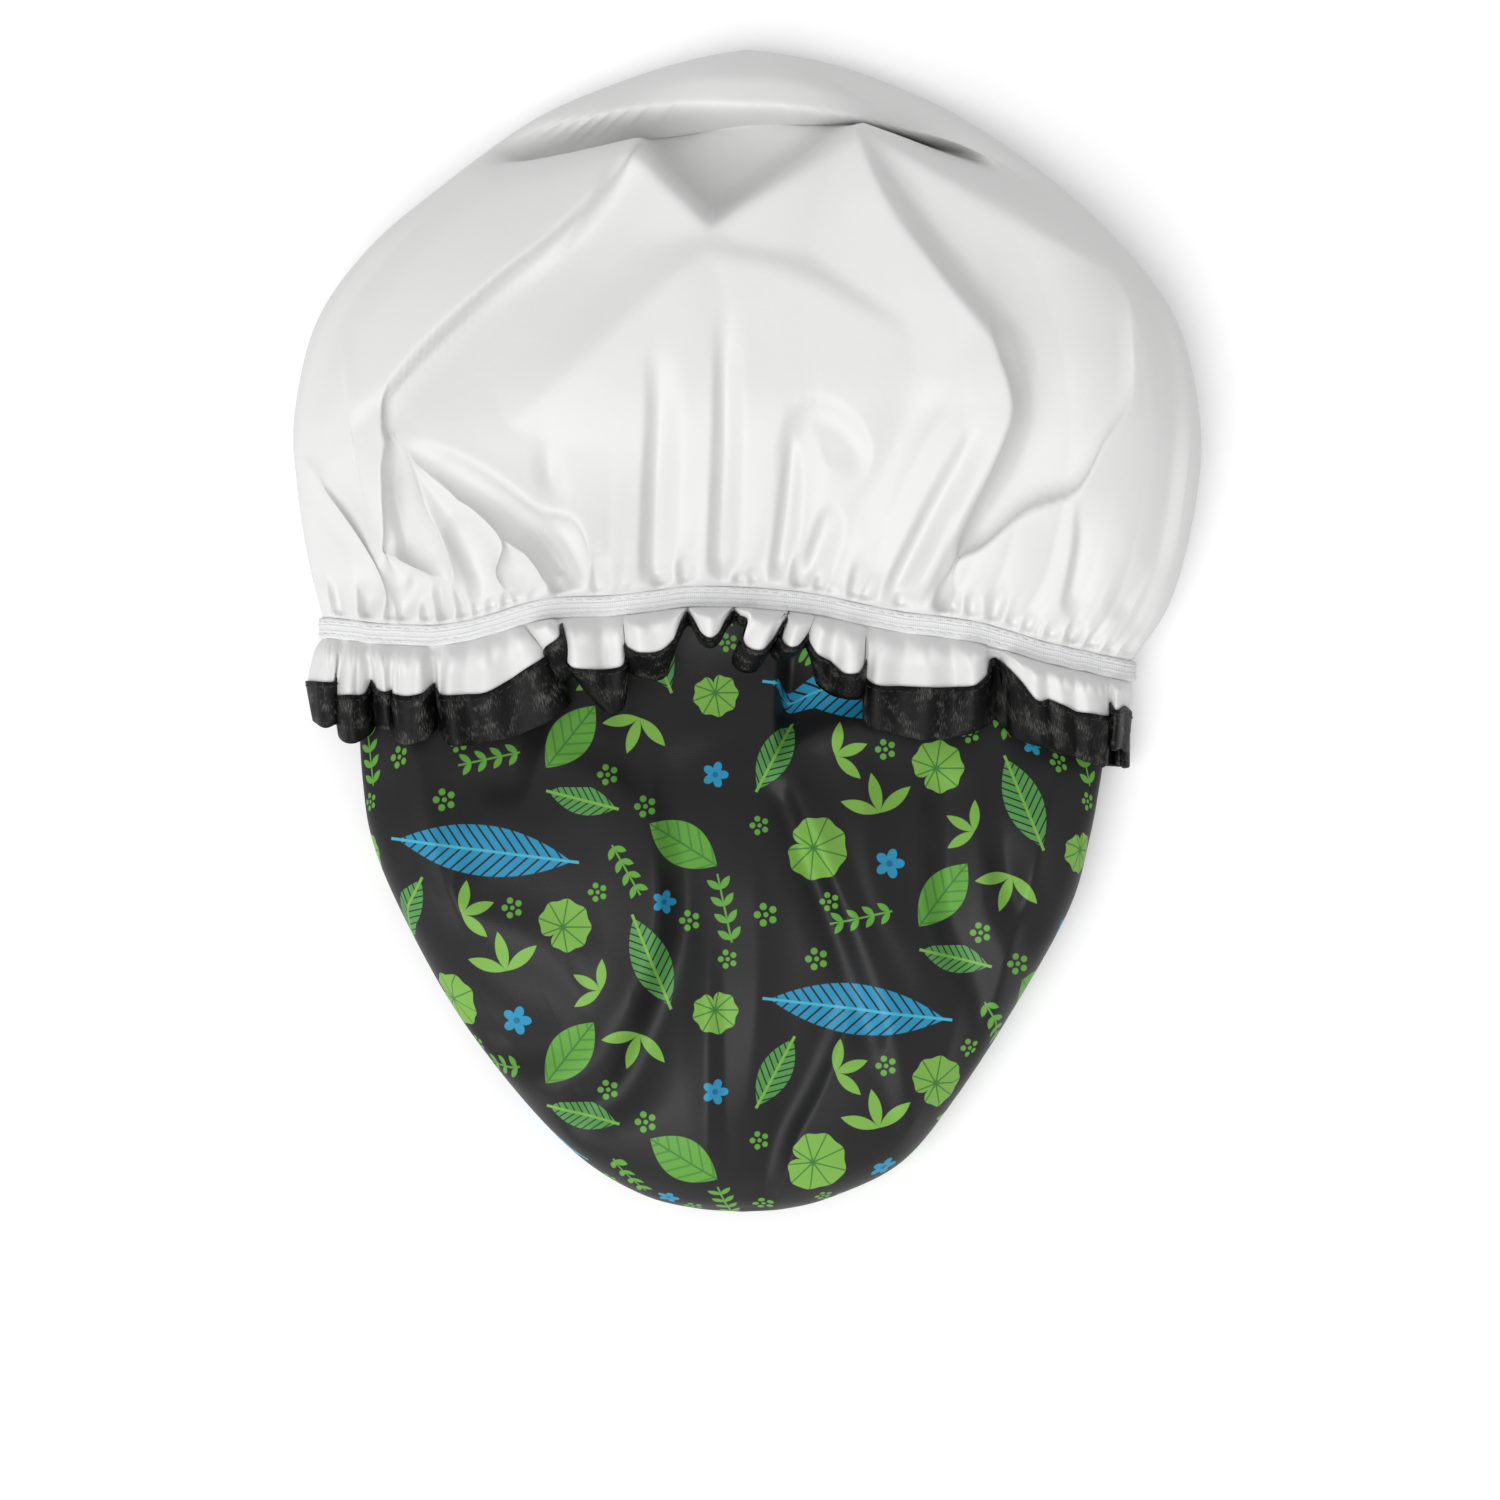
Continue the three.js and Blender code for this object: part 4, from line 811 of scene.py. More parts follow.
def make_liner():
    """The film: frill, band under the elastic and bag, in one sheet."""
    rng = np.random.default_rng(SEED)
    bag = liner_grid(rng)
    frill = frill_grid(frill_distances(), np.random.default_rng(SEED + 1))
    grid = np.concatenate([frill, bag])
    tip = np.array([[0, LINER_REACH, LINER_DEPTH * LINER_ROW_SHARES[-1][4]]])
    places = np.vstack([cloth_places(grid, 0), tip[:, :2]])
    piece = grid_mesh("liner_film", grid, places, tip)
    piece.data.materials.append(film_material())
    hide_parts("liner_crown", "liner_frill")
    return piece


def make_shell():
    """The satin: the frill's back, the fold at the elastic and the bag, in one sheet."""
    bag = shell_grid(np.random.default_rng(SEED + 2))
    film = frill_grid(frill_distances(), np.random.default_rng(SEED + 1))
    frill = film + grid_normals(film, 1) * SATIN_LEVEL
    top = frill[-1]
    start = bag[0]
    turns = np.linspace(0, math.pi, SHELL_FOLD_STEPS)[1:-1]
    middle, half = (top + start) / 2, (top - start) / 2
    fold = [middle + half * math.cos(t) + np.array([0, SHELL_FOLD_BULGE * math.sin(t), 0]) for t in turns]
    grid = np.concatenate([frill, np.array(fold), bag])
    tip_x_share, _, _, _, tip_height_share, _, _ = SHELL_ROW_SHARES[-1]
    tip_x = SHELL_CENTRE_X + tip_x_share * SHELL_HALF_WIDTH
    tip = np.array([[tip_x, -SHELL_REACH, SHELL_DEPTH * tip_height_share]])
    places = np.vstack([cloth_places(frill, PLAIN_SHIFT), cloth_places(np.array(fold), 0),
                        cloth_places(bag, 0), tip[:, :2]])
    piece = grid_mesh("shell_satin", grid, places, tip)
    piece.data.materials.append(satin_material())
    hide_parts("shell_crown", "shell_frill")
    return piece


# Binding

def hem_section():
    """Section of the folded binding: distance from the seam and depth outwards, one closed outline."""
    outer_front = HEM_SPREAD + HEM_WALL
    outer_back = SATIN_LEVEL - HEM_SPREAD - HEM_WALL + HEM_BACK_INSET
    inner_back = outer_back + HEM_WALL
    middle, radius = (outer_front + outer_back) / 2, (outer_front - outer_back) / 2
    front = [(distance, outer_front) for distance in np.linspace(HEM_TOP, FRILL_DEPTH, HEM_STEPS)]
    bend = [(FRILL_DEPTH + radius * math.sin(t) * HEM_BEND_SHARE, middle + radius * math.cos(t))
            for t in np.linspace(0, math.pi, HEM_BEND_STEPS)[1:-1]]
    back = [(distance, outer_back) for distance in np.linspace(FRILL_DEPTH, HEM_TOP, HEM_STEPS)]
    end = FRILL_DEPTH - HEM_EDGE_WALL
    inside = [(HEM_TOP, inner_back), (end, inner_back), (end, HEM_SPREAD), (HEM_TOP, HEM_SPREAD)]
    return front + bend + back + inside


def make_hem():
    """The satin binding folded round the frill's edge."""
    section = hem_section()
    distances = np.unique([distance for distance, _ in section])
    film = frill_grid(distances, np.random.default_rng(SEED + 1))
    normals = grid_normals(film, -1)
    loops = []
    for distance, depth in section:
        row = int(np.searchsorted(distances, distance))
        loops.append(film[row] + normals[row] * depth)
    grid = np.array(loops)
    arc = np.cumsum(np.linalg.norm(np.roll(film[0], -1, axis=0) - film[0], axis=1))
    places = np.array([[along, i * HEM_ROW_PLACE] for i in range(len(section)) for along in arc])
    piece = grid_mesh("hem_binding_cloth", grid, places, closed_section=True)
    piece.data.materials.append(binding_material())
    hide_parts("hem_binding")
    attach(piece, "shell")
    return piece


# Elastic and threads

# Tape: cords along it, points to a cord, roundness and height of a cord, the tape's crown and the
# power of its rounded edges
ELASTIC_CORDS = 7
CORD_STEPS = 4
CORD_POWER = 0.6
CORD_HEIGHT = 0.22
TAPE_CROWN = 0.33
TAPE_EDGE_POWER = 6
# Slight puckers of its face, and the wander of its edges: size, and knots round the waist
TAPE_PUCKERS = [(0.12, 150), (0.1, 60)]
TAPE_EDGE_WANDER = (0.18, 90)

# Stitches: thread radius, pitch, how far a row lies from the elastic's or the binding's edge, how far
# a stitch drifts aside, and the step to the samples that give the cloth's slope. Lifts are how far the
# points of a stitch stand out of the cloth.
WAIST_STEPS = 4000
THREAD_SIDES = 6
THREAD_END_SHARE = 0.45
UPRIGHT_SHARE = 0.9
STITCH_SPAN_SHARES = (0.12, 0.88)
WAIST_STITCH = {"radius": 0.18, "pitch": 3.1, "inset": 1.4, "drift": 0.15}
WAIST_STITCH_LIFTS = (-0.18, 0.1, 0.2, 0.1, -0.18)
HEM_STITCH = {"radius": 0.2, "pitch": 2.9, "inset": 1.6, "sample": 0.5}
HEM_STITCH_LIFTS = (-0.12, 0.08, 0.14, 0.08, -0.12)
# Bar tack: thread radius, height over the tape, half width, half turn round the waist, and points
TACK = {"radius": 0.22, "lift": 0.25, "half_width": 1.4, "half_turn": 0.018, "points": 9}


def band_points(turns, depth, distance):
    """Points on the waist at a depth outwards and a distance below the seam's middle."""
    points = waist_points(turns) + waist_outward(turns) * np.asarray(depth).reshape(-1, 1)
    points[:, 1] -= distance
    return points


def make_elastic():
    """The ribbed tape: fine cords along it, and slight puckers across."""
    steps = ELASTIC_CORDS * CORD_STEPS
    section = []
    for i in range(steps + 1):
        share = i / steps
        groove = 1 - abs(math.sin(math.pi * ELASTIC_CORDS * share)) ** CORD_POWER
        fall = (2 * share - 1) ** TAPE_EDGE_POWER
        depth = ELASTIC_FACE - CORD_HEIGHT * groove - TAPE_CROWN * fall
        section.append((share * ELASTIC_WIDTH - ELASTIC_HALF, depth))
    section += [(ELASTIC_HALF, ELASTIC_UNDERSIDE), (-ELASTIC_HALF, ELASTIC_UNDERSIDE)]
    rng = np.random.default_rng(SEED + 3)
    wave = sum(size * wander(knots, rng, TURNS) for size, knots in TAPE_PUCKERS)
    edge_size, edge_knots = TAPE_EDGE_WANDER
    edge = edge_size * wander(edge_knots, rng, TURNS)
    loops = []
    for distance, depth in section:
        loop = band_points(TURNS, depth + wave * (depth > ELASTIC_UNDERSIDE), distance)
        loop[:, 1] += edge
        loops.append(loop)
    piece = grid_mesh("elastic_tape", np.array(loops), waist_places(section), closed_section=True)
    piece.data.materials.append(elastic_material())
    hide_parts("elastic_band")
    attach(piece, "shell")


def waist_places(section):
    """Texture coordinates along the waist and across a section."""
    waist = waist_points(TURNS)
    arc = np.cumsum(np.linalg.norm(np.roll(waist, -1, axis=0) - waist, axis=1))
    return np.array([[along, distance] for distance, _ in section for along in arc])


def tube_along(points, radius):
    """Rings and faces of one stitch: a short tube with closed, narrowed ends."""
    points = np.asarray(points, float)
    sides = THREAD_SIDES
    rings = []
    for i, point in enumerate(points):
        along = points[min(i + 1, len(points) - 1)] - points[max(i - 1, 0)]
        along /= np.linalg.norm(along)
        across = np.cross(along, (0, 0, 1) if abs(along[2]) < UPRIGHT_SHARE else (0, 1, 0))
        across /= np.linalg.norm(across)
        other = np.cross(along, across)
        width = radius * (THREAD_END_SHARE if i in (0, len(points) - 1) else 1)
        rings += [point + width * (across * math.cos(a) + other * math.sin(a))
                  for a in np.linspace(0, 2 * math.pi, sides, endpoint=False)]
    faces = []
    for i in range(len(points) - 1):
        for k in range(sides):
            faces.append([i * sides + k, i * sides + (k + 1) % sides,
                          (i + 1) * sides + (k + 1) % sides, (i + 1) * sides + k])
    faces.append(list(range(sides - 1, -1, -1)))
    faces.append([(len(points) - 1) * sides + k for k in range(sides)])
    return rings, faces


def stitch_piece(name, paths, radius, material, node):
    """One piece made of many separate stitches."""
    points, faces = [], []
    for path in paths:
        ring_points, ring_faces = tube_along(path, radius)
        faces += [[len(points) + corner for corner in face] for face in ring_faces]
        points += ring_points
    piece = mesh_piece(name, np.array(points), faces)
    piece.data.materials.append(material)
    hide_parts(node)
    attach(piece, "shell")
    return piece


def waist_stitches(distance, rng):
    """Paths of the stitches in one row along the elastic."""
    fine = np.linspace(0, 2 * math.pi, WAIST_STEPS)
    arc = np.concatenate([[0], np.cumsum(np.linalg.norm(np.diff(waist_points(fine), axis=0), axis=1))])
    count = int(arc[-1] / WAIST_STITCH["pitch"])
    depths = ELASTIC_FACE + np.array(WAIST_STITCH_LIFTS)
    drift = WAIST_STITCH["drift"]
    paths = []
    for i in range(count):
        places = (i + np.linspace(*STITCH_SPAN_SHARES, len(depths))) * arc[-1] / count
        turns = np.interp(places, arc, fine)
        paths.append(band_points(turns, depths, distance + rng.uniform(-drift, drift)))
    return paths


def hem_stitches():
    """Paths of the stitches along the top of the binding."""
    pitch, sample = HEM_STITCH["pitch"], HEM_STITCH["sample"]
    row = HEM_TOP + HEM_STITCH["inset"]
    film = frill_grid([row - sample, row, row + sample], np.random.default_rng(SEED + 1))
    normals = grid_normals(film, -1)[1]
    line = film[1] + normals * (HEM_SPREAD + HEM_WALL)
    arc = np.concatenate([[0], np.cumsum(np.linalg.norm(np.diff(line, axis=0), axis=1))])
    lifts = np.array(HEM_STITCH_LIFTS)
    paths = []
    for i in range(int(arc[-1] / pitch)):
        places = (i + np.linspace(*STITCH_SPAN_SHARES, len(lifts))) * pitch
        point = np.stack([np.interp(places, arc, line[:, k]) for k in range(3)], axis=1)
        normal = np.stack([np.interp(places, arc, normals[:, k]) for k in range(3)], axis=1)
        paths.append(point + normal * lifts[:, None])
    return paths


def make_stitches():
    rng = np.random.default_rng(SEED + 4)
    white = thread_material("white_thread", THREAD_WHITE)
    black = thread_material("black_thread", THREAD_BLACK)
    aside = ELASTIC_HALF - WAIST_STITCH["inset"]
    for name, distance in (("upper", -aside), ("lower", aside)):
        stitch_piece(f"elastic_stitches_{name}", waist_stitches(distance, rng), WAIST_STITCH["radius"],
                     white, f"elastic_stitch_{name}")
    stitch_piece("hem_stitches", hem_stitches(), HEM_STITCH["radius"], black, "hem_stitch")
    stitch_piece("elastic_tack", tack_bars(), TACK["radius"], white, "elastic_join_tack")


def tack_bars():
    """Zigzag of straight bars across the elastic at the middle of the back."""
    half_turn, half_width, count = TACK["half_turn"], TACK["half_width"], TACK["points"]
    turns = 3 * math.pi / 2 + np.linspace(-half_turn, half_turn, count)
    zigzag = band_points(turns, ELASTIC_FACE + TACK["lift"], 0)
    zigzag[:, 1] += np.where(np.arange(count) % 2, half_width, -half_width)
    return [zigzag[i:i + 2] for i in range(count - 1)]


# Materials

# Print: how far cloth without a print is moved along, the place from which it spreads outwards, and
# the height under which it does
PLAIN_SHIFT = 1000
BAG_MIDDLE = (-5, -75)
PRINT_FALL_HEIGHT = 22
THREAD_WHITE = (0.93, 0.93, 0.93, 1)
THREAD_BLACK = (0.02, 0.02, 0.021, 1)
FILM_COLOURS = ((0.77, 0.77, 0.765, 1), (0.82, 0.82, 0.815, 1))
TAPE_COLOURS = ((0.85, 0.85, 0.86, 1), (0.92, 0.92, 0.925, 1))
# Painted shade: a darker white for the tape's grooves
TAPE_GROOVE_SHADE = (0.74, 0.74, 0.75, 1)
# Binding: its black, then the lighter grey of its painted highlight streaks
BINDING_BLACK_AND_PAINTED_SHINE = ((0.0022, 0.0022, 0.0024, 1), (0.08, 0.08, 0.073, 1))
FLOOR_WHITE = (0.96, 0.96, 0.96, 1)
# Periods of the weave, the knit and the stripes of painted shade along the tape's grooves
WEAVE_ACROSS = 0.7
WEAVE_ALONG = 0.5
KNIT_PITCH = 0.62
KNIT_SLANT = 1.5
GROOVE_SHADE_PITCH = 1.6
# Depth of each surface's fine relief
FILM_RELIEF = 0.5
SATIN_RELIEF = 0.05
BINDING_RELIEF = 0.25
TAPE_RELIEF = 0.12
THREAD_RELIEF = 0.1


class Field:
    """A number that varies over the surface, kept as a socket of a shader tree."""

    def __init__(self, tree, socket):
        self.tree = tree
        self.socket = socket

    def combine(self, operation, *others):
        node = self.tree.nodes.new("ShaderNodeMath")
        node.operation = operation
        for slot, value in zip(node.inputs, (self, *others)):
            if isinstance(value, Field):
                self.tree.links.new(value.socket, slot)
            else:
                slot.default_value = value
        return Field(self.tree, node.outputs[0])

    def __add__(self, other):
        return self.combine("ADD", other)

    def __sub__(self, other):
        return self.combine("SUBTRACT", other)

    def __mul__(self, other):
        return self.combine("MULTIPLY", other)

    def __rsub__(self, other):
        return (self * -1) + other

    def abs(self):
        return self.combine("ABSOLUTE")

    def least(self, other):
        return self.combine("MINIMUM", other)

    def most(self, other):
        return self.combine("MAXIMUM", other)

    def wave(self, rate):
        return (self * rate).combine("SINE")

    def repeat(self, size):
        """Distance into the current repeat, from 0 to size."""
        return self - (self * (1 / size)).combine("FLOOR") * size

    def inside(self, softness=0.25):
        """1 where the value is above zero, with a soft edge."""
        node = (self * (1 / softness) + 0.5)
        return node.most(0).least(1)


def new_material(name):
    material = bpy.data.materials.new(name)
    material.use_nodes = True
    tree = material.node_tree
    return material, tree, tree.nodes["Principled BSDF"]


def add_node(tree, kind, **values):
    """New node with its settings and unlinked inputs set by name."""
    node = tree.nodes.new(kind)
    for key, value in values.items():
        if hasattr(node, key):
            setattr(node, key, value)
        else:
            node.inputs[key.replace("_", " ")].default_value = value
    return node


def cloth_coordinates(tree):
    """Cloth coordinates in millimetres, as a vector and as two fields."""
    layer = add_node(tree, "ShaderNodeUVMap", uv_map="cloth")
    scale = add_node(tree, "ShaderNodeVectorMath", operation="SCALE", Scale=1 / MM)
    tree.links.new(layer.outputs["UV"], scale.inputs[0])
    split = add_node(tree, "ShaderNodeSeparateXYZ")
    tree.links.new(scale.outputs[0], split.inputs[0])
    return scale.outputs[0], Field(tree, split.outputs["X"]), Field(tree, split.outputs["Y"])


def colour_mix(tree, share, first, second):
    """Mix of two colours, each a tuple or a socket, by a field."""
    node = add_node(tree, "ShaderNodeMix", data_type="RGBA")
    factor, a, b = node.inputs[0], node.inputs[6], node.inputs[7]
    tree.links.new(share.socket, factor)
    for slot, value in ((a, first), (b, second)):
        if isinstance(value, tuple):
            slot.default_value = value
        else:
            tree.links.new(value, slot)
    return node.outputs[2]


def noise(tree, vector, scale, detail=3.0, stretch=None):
    """Noise over a vector, as a field around 0.5."""
    node = add_node(tree, "ShaderNodeTexNoise", Scale=scale, Detail=detail)
    if stretch is None:
        tree.links.new(vector, node.inputs["Vector"])
    else:
        mapping = add_node(tree, "ShaderNodeMapping", Scale=stretch)
        tree.links.new(vector, mapping.inputs["Vector"])
        tree.links.new(mapping.outputs[0], node.inputs["Vector"])
    return Field(tree, node.outputs[0])


def set_shader(tree, shader, **values):
    """Sets or links inputs of a shader by name, from numbers, colours, fields and sockets."""
    for name, value in values.items():
        slot = shader.inputs[name.replace("_", " ")]
        if isinstance(value, Field):
            tree.links.new(value.socket, slot)
        elif isinstance(value, bpy.types.NodeSocket):
            tree.links.new(value, slot)
        else:
            slot.default_value = value


def add_bump(tree, shader, height, distance, strength):
    node = add_node(tree, "ShaderNodeBump", Strength=strength, Distance=distance * MM)
    tree.links.new(height.socket, node.inputs["Height"])
    tree.links.new(node.outputs[0], shader.inputs["Normal"])


def film_material():
    """White PEVA film: soft gloss, faint clouding and fine wrinkles."""
    material, tree, shader = new_material("peva_film")
    place = add_node(tree, "ShaderNodeTexCoord").outputs["Object"]
    cloud = noise(tree, place, 9)
    wrinkle = noise(tree, place, 90, 4) * 0.6 + noise(tree, place, 420, 2) * 0.16
    colour = colour_mix(tree, cloud, *FILM_COLOURS)
    set_shader(tree, shader, Base_Color=colour, Roughness=cloud * 0.14 + 0.36, IOR=1.49)
    add_bump(tree, shader, wrinkle, FILM_RELIEF, 0.55)
    return material


SATIN_BLACK = (0.013, 0.013, 0.0138, 1)
# Painted sheen: a slightly lighter black for broad patches of the satin's ground
SATIN_PAINTED_SHEEN = (0.018, 0.018, 0.0188, 1)
LEAF_GREEN = (0.12, 0.36, 0.05, 1)
DEEP_GREEN = (0.055, 0.2, 0.04, 1)
FRESH_GREEN = (0.2, 0.44, 0.07, 1)
FERN_GREEN = (0.09, 0.31, 0.075, 1)
SKY_BLUE = (0.024, 0.28, 0.48, 1)
DEEP_BLUE = (0.012, 0.15, 0.31, 1)
PALE_BLUE = (0.07, 0.45, 0.6, 1)
TILE_WIDTH = 118
TILE_HEIGHT = 100
STEM_HALF_WIDTH = 0.3
FEATHER_STEM_HALF_WIDTH = 0.42
SCALLOP_HEIGHT = 0.35

# Print motifs in one tile: middle, turn in degrees, then the sizes that their functions take
BLUE_FEATHERS = [((35, 80), 83, 28, 8, 3.6)]
FERNS = [((88, 45), 22, 15, 6, 2.8), ((9, 60), -28, 12, 5, 2.6), ((66, 96), 76, 11, 4.6, 2.4)]
OVAL_LEAVES = [((62, 16), -38, 12.5, 6.6), ((98, 82), 58, 12.5, 6.8)]
ROUND_LEAVES = [((21, 31), 15, 10.4), ((60, 56), -40, 8.8), ((108, 30), 80, 7.4)]
SPRIGS = [((111, 62), 12, 11, 5.4, 5.2, 1.1), ((36, 9), 102, 10, 5, 4.8, 1), ((80, 74), -150, 9, 4.6, 4.4, 1)]
TRIOS = [((42, 42), 12, 6.4, 2), ((84, 22), 160, 6, 1.9), ((28, 60), -70, 5.4, 1.8), ((72, 36), 60, 5, 1.6)]
BLOSSOMS = [((45, 26), 4.8, 5), ((108, 4), 4.2, 5), ((92, 64), 3.8, 5)]
BERRIES = [((6, 10), 2.7), ((44, 62), 2.4), ((74, 4), 2.4), ((100, 58), 2.4), ((22, 96), 2.6),
           ((86, 94), 2.5), ((112, 46), 2.2), ((71, 67), 2.2), ((4, 38), 2.2), ((26, 14), 2.2)]


def turned(u, v, centre, angle):
    """Local coordinates of a motif: across its stem and along it."""
    cosine, sine = math.cos(math.radians(angle)), math.sin(math.radians(angle))
    du, dv = u - centre[0], v - centre[1]
    return du * cosine + dv * sine, dv * cosine - du * sine


def polar(u, v, centre, angle=0):
    """Distance and direction from the middle of a motif."""
    du, dv = u - centre[0], v - centre[1]
    return (du * du + dv * dv).combine("SQRT"), dv.combine("ARCTAN2", du) + math.radians(angle)


def oval_leaf(across, along, half_length, half_width):
    """Pointed leaf with its veins: mask and vein mask."""
    width = (1 - (along * (1 / half_length)).combine("POWER", 2)) * half_width
    mask = (width - across.abs()).inside()
    rib = (STEM_HALF_WIDTH - across.abs()).inside()
    veins = ((along - across.abs() * 0.9).wave(2 * math.pi / (half_length / 3)) - 0.8).inside(0.2)
    return mask, rib.most(veins * 0.7)


def round_leaf(away, angle, radius):
    """Round leaf with a notch and veins from its middle: mask and vein mask."""
    notch = (angle * 0.5).combine("COSINE").abs()
    rim = (angle * 9).combine("COSINE") * SCALLOP_HEIGHT + radius
    mask = (rim * notch.combine("POWER", 0.18) - away).inside()
    veins = ((angle * 4.5).combine("SINE").abs() * away * 0.3 - STEM_HALF_WIDTH) * -1
    return mask, veins.inside()


def sprig(across, along, half_length, pitch, leaf_length, leaf_width):
    """Stem with pairs of slim leaflets that slant forwards."""
    side = across.abs()
    step = (along + half_length).repeat(pitch) - pitch * 0.15
    out = (side + step) * 0.7071 - leaf_length * 0.5
    aside = (side - step) * 0.7071
    leaflet = (1 - (out * (2 / leaf_length)).combine("POWER", 2)) * leaf_width - aside.abs()
    within = half_length - along.abs()
    stem = (STEM_HALF_WIDTH - side).least(within)
    return leaflet.least(within).most(stem).inside()


def feather(across, along, half_length, half_width, pitch):
    """Frond with a lens-shaped outline cut into slanting leaflets: mask and stem mask."""
    side = across.abs()
    width = (1 - (along * (1 / half_length)).combine("POWER", 2)) * half_width
    blade = (along - side * 0.9).repeat(pitch) - pitch / 2
    leaflets = (pitch * 0.39 - blade.abs()).least(width - side)
    within = half_length * 1.08 - along.abs()
    stem = (FEATHER_STEM_HALF_WIDTH - side).least(within)
    return leaflets.most(stem).inside(), stem.inside()


def blossom(away, angle, radius, petals):
    """Simple round-petalled flower and its middle."""
    edge = (angle * (petals / 2)).combine("COSINE").abs() * (0.5 * radius) + 0.5 * radius
    return (edge - away).inside(), (radius * 0.22 - away).inside()


def berry_ring(away, angle, radius):
    """Five berries round a dot."""
    wedge = angle.repeat(2 * math.pi / 5) - math.pi / 5
    near = away * wedge.combine("COSINE") - radius
    aside = away * wedge.combine("SINE")
    berry = radius * 0.42 - (near * near + aside * aside).combine("SQRT")
    return berry.most(radius * 0.3 - away).inside()


def print_layers(u, v):
    """Masks of the print in one tile, each with its colour, from below to above."""
    layers = []
    for centre, angle, *sizes in BLUE_FEATHERS:
        mask, stem = feather(*turned(u, v, centre, angle), *sizes)
        layers += [(mask, SKY_BLUE), (stem, PALE_BLUE)]
    for centre, angle, *sizes in FERNS:
        mask, stem = feather(*turned(u, v, centre, angle), *sizes)
        layers += [(mask, FERN_GREEN), (stem, FRESH_GREEN)]
    for centre, angle, *sizes in OVAL_LEAVES:
        mask, veins = oval_leaf(*turned(u, v, centre, angle), *sizes)
        layers += [(mask, LEAF_GREEN), (mask * veins, DEEP_GREEN)]
    for centre, angle, radius in ROUND_LEAVES:
        mask, veins = round_leaf(*polar(u, v, centre, angle), radius)
        layers += [(mask, FRESH_GREEN), (mask * veins, DEEP_GREEN)]
    for centre, angle, *sizes in SPRIGS:
        layers.append((sprig(*turned(u, v, centre, angle), *sizes), LEAF_GREEN))
    for centre, angle, half_length, half_width in TRIOS:
        for spread in (-62, 0, 62):
            turn = math.radians(angle + spread)
            middle = (centre[0] - half_length * math.sin(turn), centre[1] + half_length * math.cos(turn))
            mask, _ = oval_leaf(*turned(u, v, middle, angle + spread), half_length, half_width)
            layers.append((mask, FRESH_GREEN))
    for centre, radius, petals in BLOSSOMS:
        mask, middle = blossom(*polar(u, v, centre), radius, petals)
        layers += [(mask, SKY_BLUE), (middle, DEEP_BLUE)]
    for centre, radius in BERRIES:
        layers.append((berry_ring(*polar(u, v, centre), radius), LEAF_GREEN))
    return layers


def print_colour(tree, u, v, ground):
    """Botanical print in half-drop repeats over the ground colour."""
    column = (u * (1 / TILE_WIDTH)).combine("FLOOR")
    drop = column.repeat(2) * (TILE_HEIGHT / 2)
    printed = (PLAIN_SHIFT / 2 - v).inside()
    colour = ground
    for mask, paint in print_layers(u.repeat(TILE_WIDTH), (v + drop).repeat(TILE_HEIGHT)):
        colour = colour_mix(tree, mask * printed, colour, paint)
    return colour


def satin_material():
    """Black satin with the print, broad soft highlights, a sheen painted as lighter broad patches in its
    ground colour, and a fine weave.
    """
    material, tree, shader = new_material("printed_satin")
    vector, u, v = cloth_coordinates(tree)
    cloud = noise(tree, vector, 0.05)
    # Painted sheen: the ground colour lightens in broad random patches
    ground = colour_mix(tree, cloud, SATIN_BLACK, SATIN_PAINTED_SHEEN)
    set_shader(tree, shader, Base_Color=print_colour(tree, u, v, ground), Roughness=cloud * 0.1 + 0.4,
               Specular_IOR_Level=0.3, Anisotropic=0.3)
    across, along = 2 * math.pi / WEAVE_ACROSS, 2 * math.pi / WEAVE_ALONG
    weave = (u + v * 0.35).wave(across) * 0.25 + v.wave(along) * 0.2
    slub = noise(tree, vector, 0.5, 2, (0.12, 1, 1))
    add_bump(tree, shader, weave + slub, SATIN_RELIEF, 0.6)
    return material


def binding_material():
    """Plain black satin of the binding, with streaks of light painted into its colour along its coarse
    threads.
    """
    material, tree, shader = new_material("binding_satin")
    vector, _, _ = cloth_coordinates(tree)
    streak = noise(tree, vector, 1.0, 5, (3.4, 0.5, 1))
    patch = noise(tree, vector, 0.16, 2)
    # Painted highlight: streaks where the colour lightens from black towards grey, and where the satin is
    # also glossier
    painted_shine = (streak * patch * 7.4 - 2).most(0).least(1)
    colour = colour_mix(tree, painted_shine, *BINDING_BLACK_AND_PAINTED_SHINE)
    set_shader(tree, shader, Base_Color=colour, Roughness=0.46 - painted_shine * 0.16, Specular_IOR_Level=0.2,
               Anisotropic=0.5)
    add_bump(tree, shader, streak, BINDING_RELIEF, 0.7)
    return material


def elastic_material():
    """White knitted elastic: fine cross threads between the cords, and shade painted as darker stripes along
    its grooves.
    """
    material, tree, shader = new_material("knit_elastic")
    vector, u, v = cloth_coordinates(tree)
    across, aslant = 2 * math.pi / KNIT_PITCH, 2 * math.pi / KNIT_SLANT
    knit = u.wave(across) * 0.5 + (u * 0.8 + v * 2).wave(aslant) * 0.25
    cloud = noise(tree, vector, 0.6)
    # Painted shade: stripes along the tape, where its grooves lie, are mixed towards a darker groove white
    groove = (v.wave(2 * math.pi / GROOVE_SHADE_PITCH) + noise(tree, vector, 0.12, 2) - 1.1).inside(0.8)
    white = colour_mix(tree, cloud, *TAPE_COLOURS)
    colour = colour_mix(tree, groove, white, TAPE_GROOVE_SHADE)
    set_shader(tree, shader, Base_Color=colour, Roughness=0.72, Sheen_Weight=0.3)
    add_bump(tree, shader, knit + cloud, TAPE_RELIEF, 0.8)
    return material


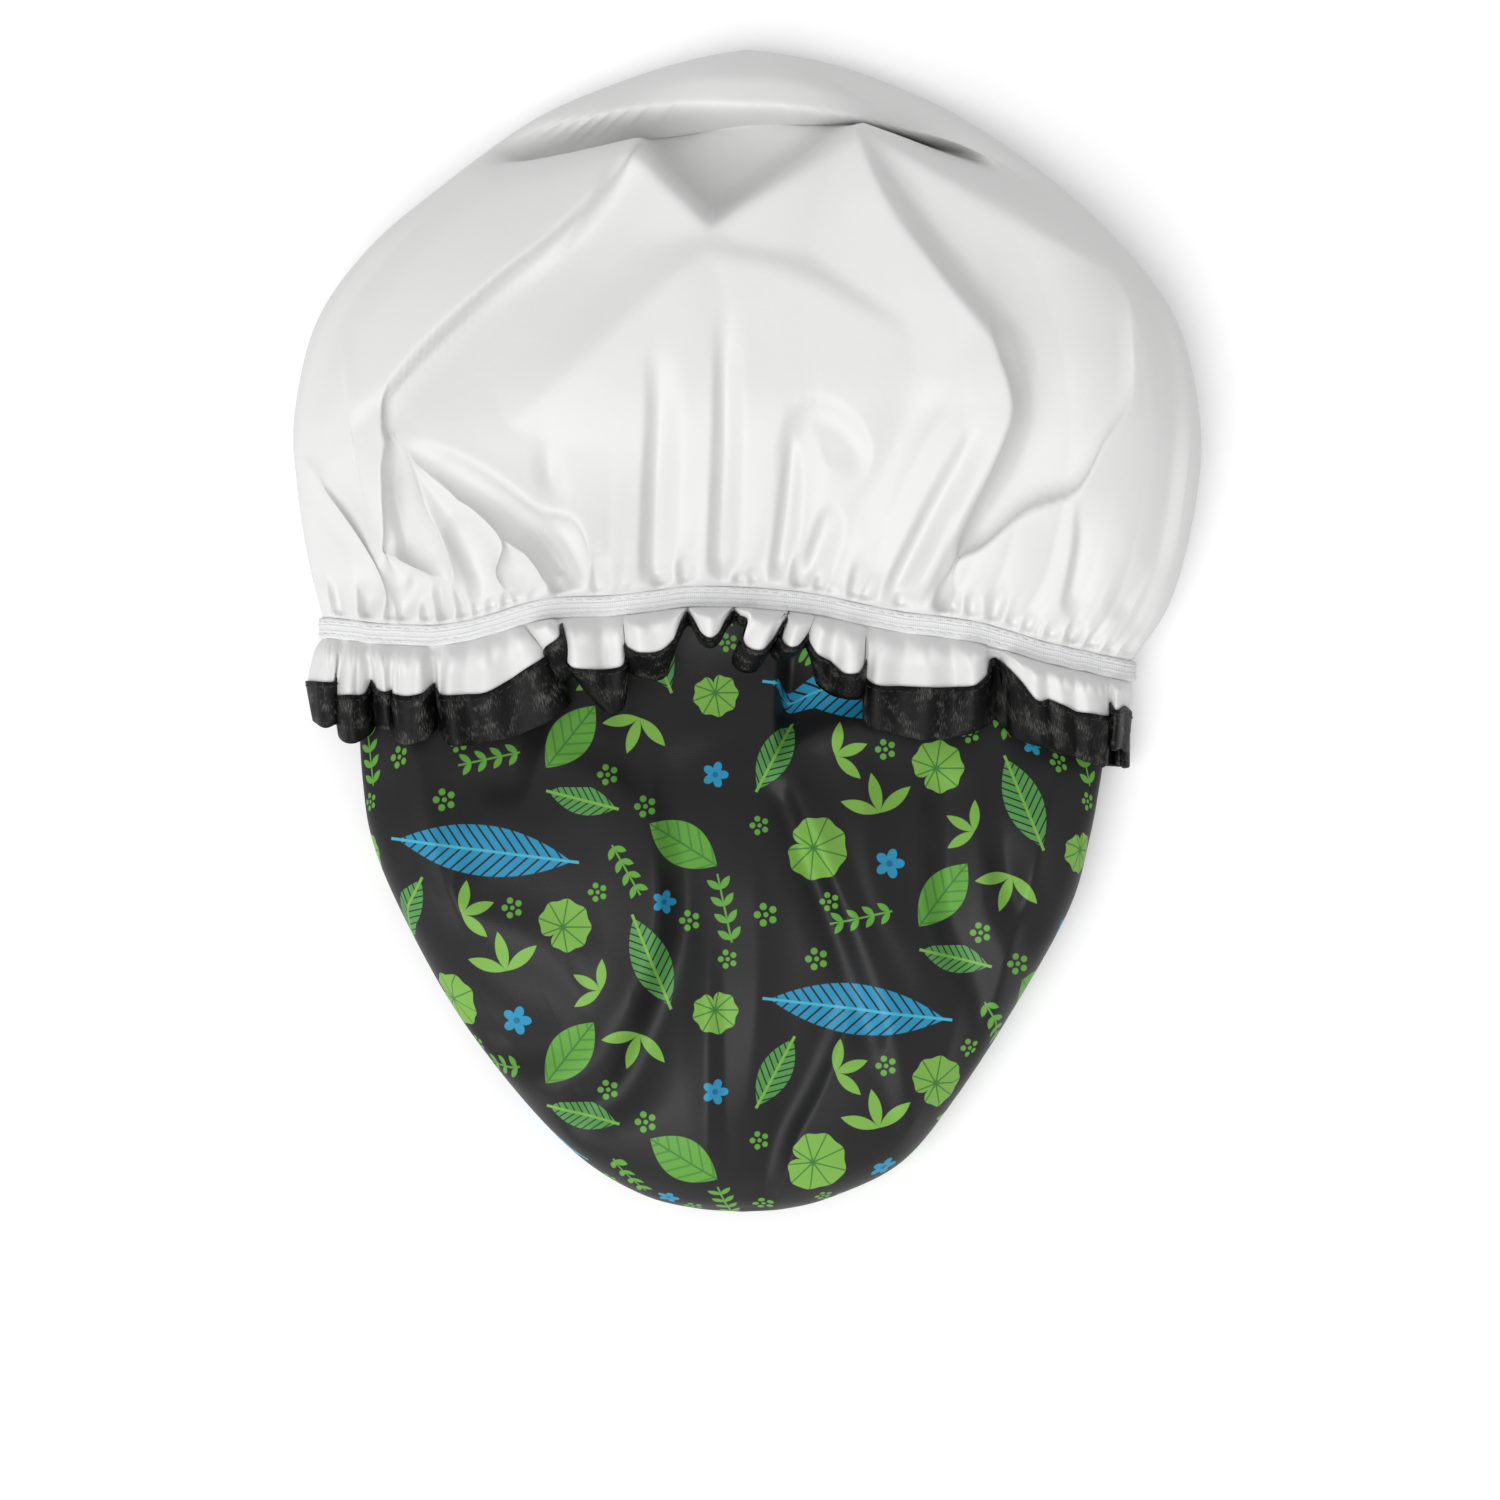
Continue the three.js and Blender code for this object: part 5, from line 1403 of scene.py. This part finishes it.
def thread_material(name, colour):
    """Twisted sewing thread."""
    material, tree, shader = new_material(name)
    place = add_node(tree, "ShaderNodeTexCoord").outputs["Object"]
    fibre = noise(tree, place, 2600, 2)
    darker = tuple(channel * 0.8 for channel in colour[:3]) + (1,)
    set_shader(tree, shader, Base_Color=colour_mix(tree, fibre, darker, colour), Roughness=0.6)
    add_bump(tree, shader, fibre, THREAD_RELIEF, 0.6)
    return material


# Stage

def make_camera():
    data = bpy.data.cameras.new("camera")
    data.sensor_width = SENSOR_WIDTH
    data.lens = SENSOR_WIDTH * CAMERA_DISTANCE / PHOTO_WIDTH
    camera = bpy.data.objects.new("camera", data)
    camera.location = (PHOTO_MIDDLE[0] * MM, PHOTO_MIDDLE[1] * MM, (CAMERA_DISTANCE + OUTLINE_HEIGHT) * MM)
    bpy.context.scene.collection.objects.link(camera)
    bpy.context.scene.camera = camera


def make_floor():
    half, level = FLOOR_HALF_WIDTH * MM, -FLOOR_DROP * MM
    mesh = bpy.data.meshes.new("floor")
    corners = [(-half, -half, level), (half, -half, level), (half, half, level), (-half, half, level)]
    mesh.from_pydata(corners, [], [(0, 1, 2, 3)])
    floor = bpy.data.objects.new("floor", mesh)
    bpy.context.scene.collection.objects.link(floor)
    material, tree, shader = new_material("floor_white")
    seen = Field(tree, add_node(tree, "ShaderNodeLightPath").outputs["Is Camera Ray"])
    set_shader(tree, shader, Base_Color=FLOOR_WHITE, Roughness=1, Specular_IOR_Level=0,
               Emission_Color=(1, 1, 1, 1), Emission_Strength=seen * FLOOR_LIFT)
    mesh.materials.append(material)


def make_lights():
    """One broad soft key from the front and left, and an even white surround."""
    data = bpy.data.lights.new("key", "SUN")
    data.energy = KEY_STRENGTH
    data.angle = math.radians(KEY_SOFTNESS)
    lamp = bpy.data.objects.new("key", data)
    lamp.rotation_euler = (math.radians(90 - KEY_HEIGHT), 0, math.radians(KEY_SIDE))
    bpy.context.scene.collection.objects.link(lamp)
    world = bpy.data.worlds.new("world")
    world.use_nodes = True
    world.node_tree.nodes["Background"].inputs["Color"].default_value = (1, 1, 1, 1)
    world.node_tree.nodes["Background"].inputs["Strength"].default_value = SURROUND_STRENGTH
    bpy.context.scene.world = world


make_camera()
make_floor()
make_lights()
liner = make_liner()
shell = make_shell()
hem = make_hem()
make_elastic()
make_stitches()
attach(shell, "shell")
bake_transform(liner)
bpy.context.scene.view_settings.view_transform = "Standard"
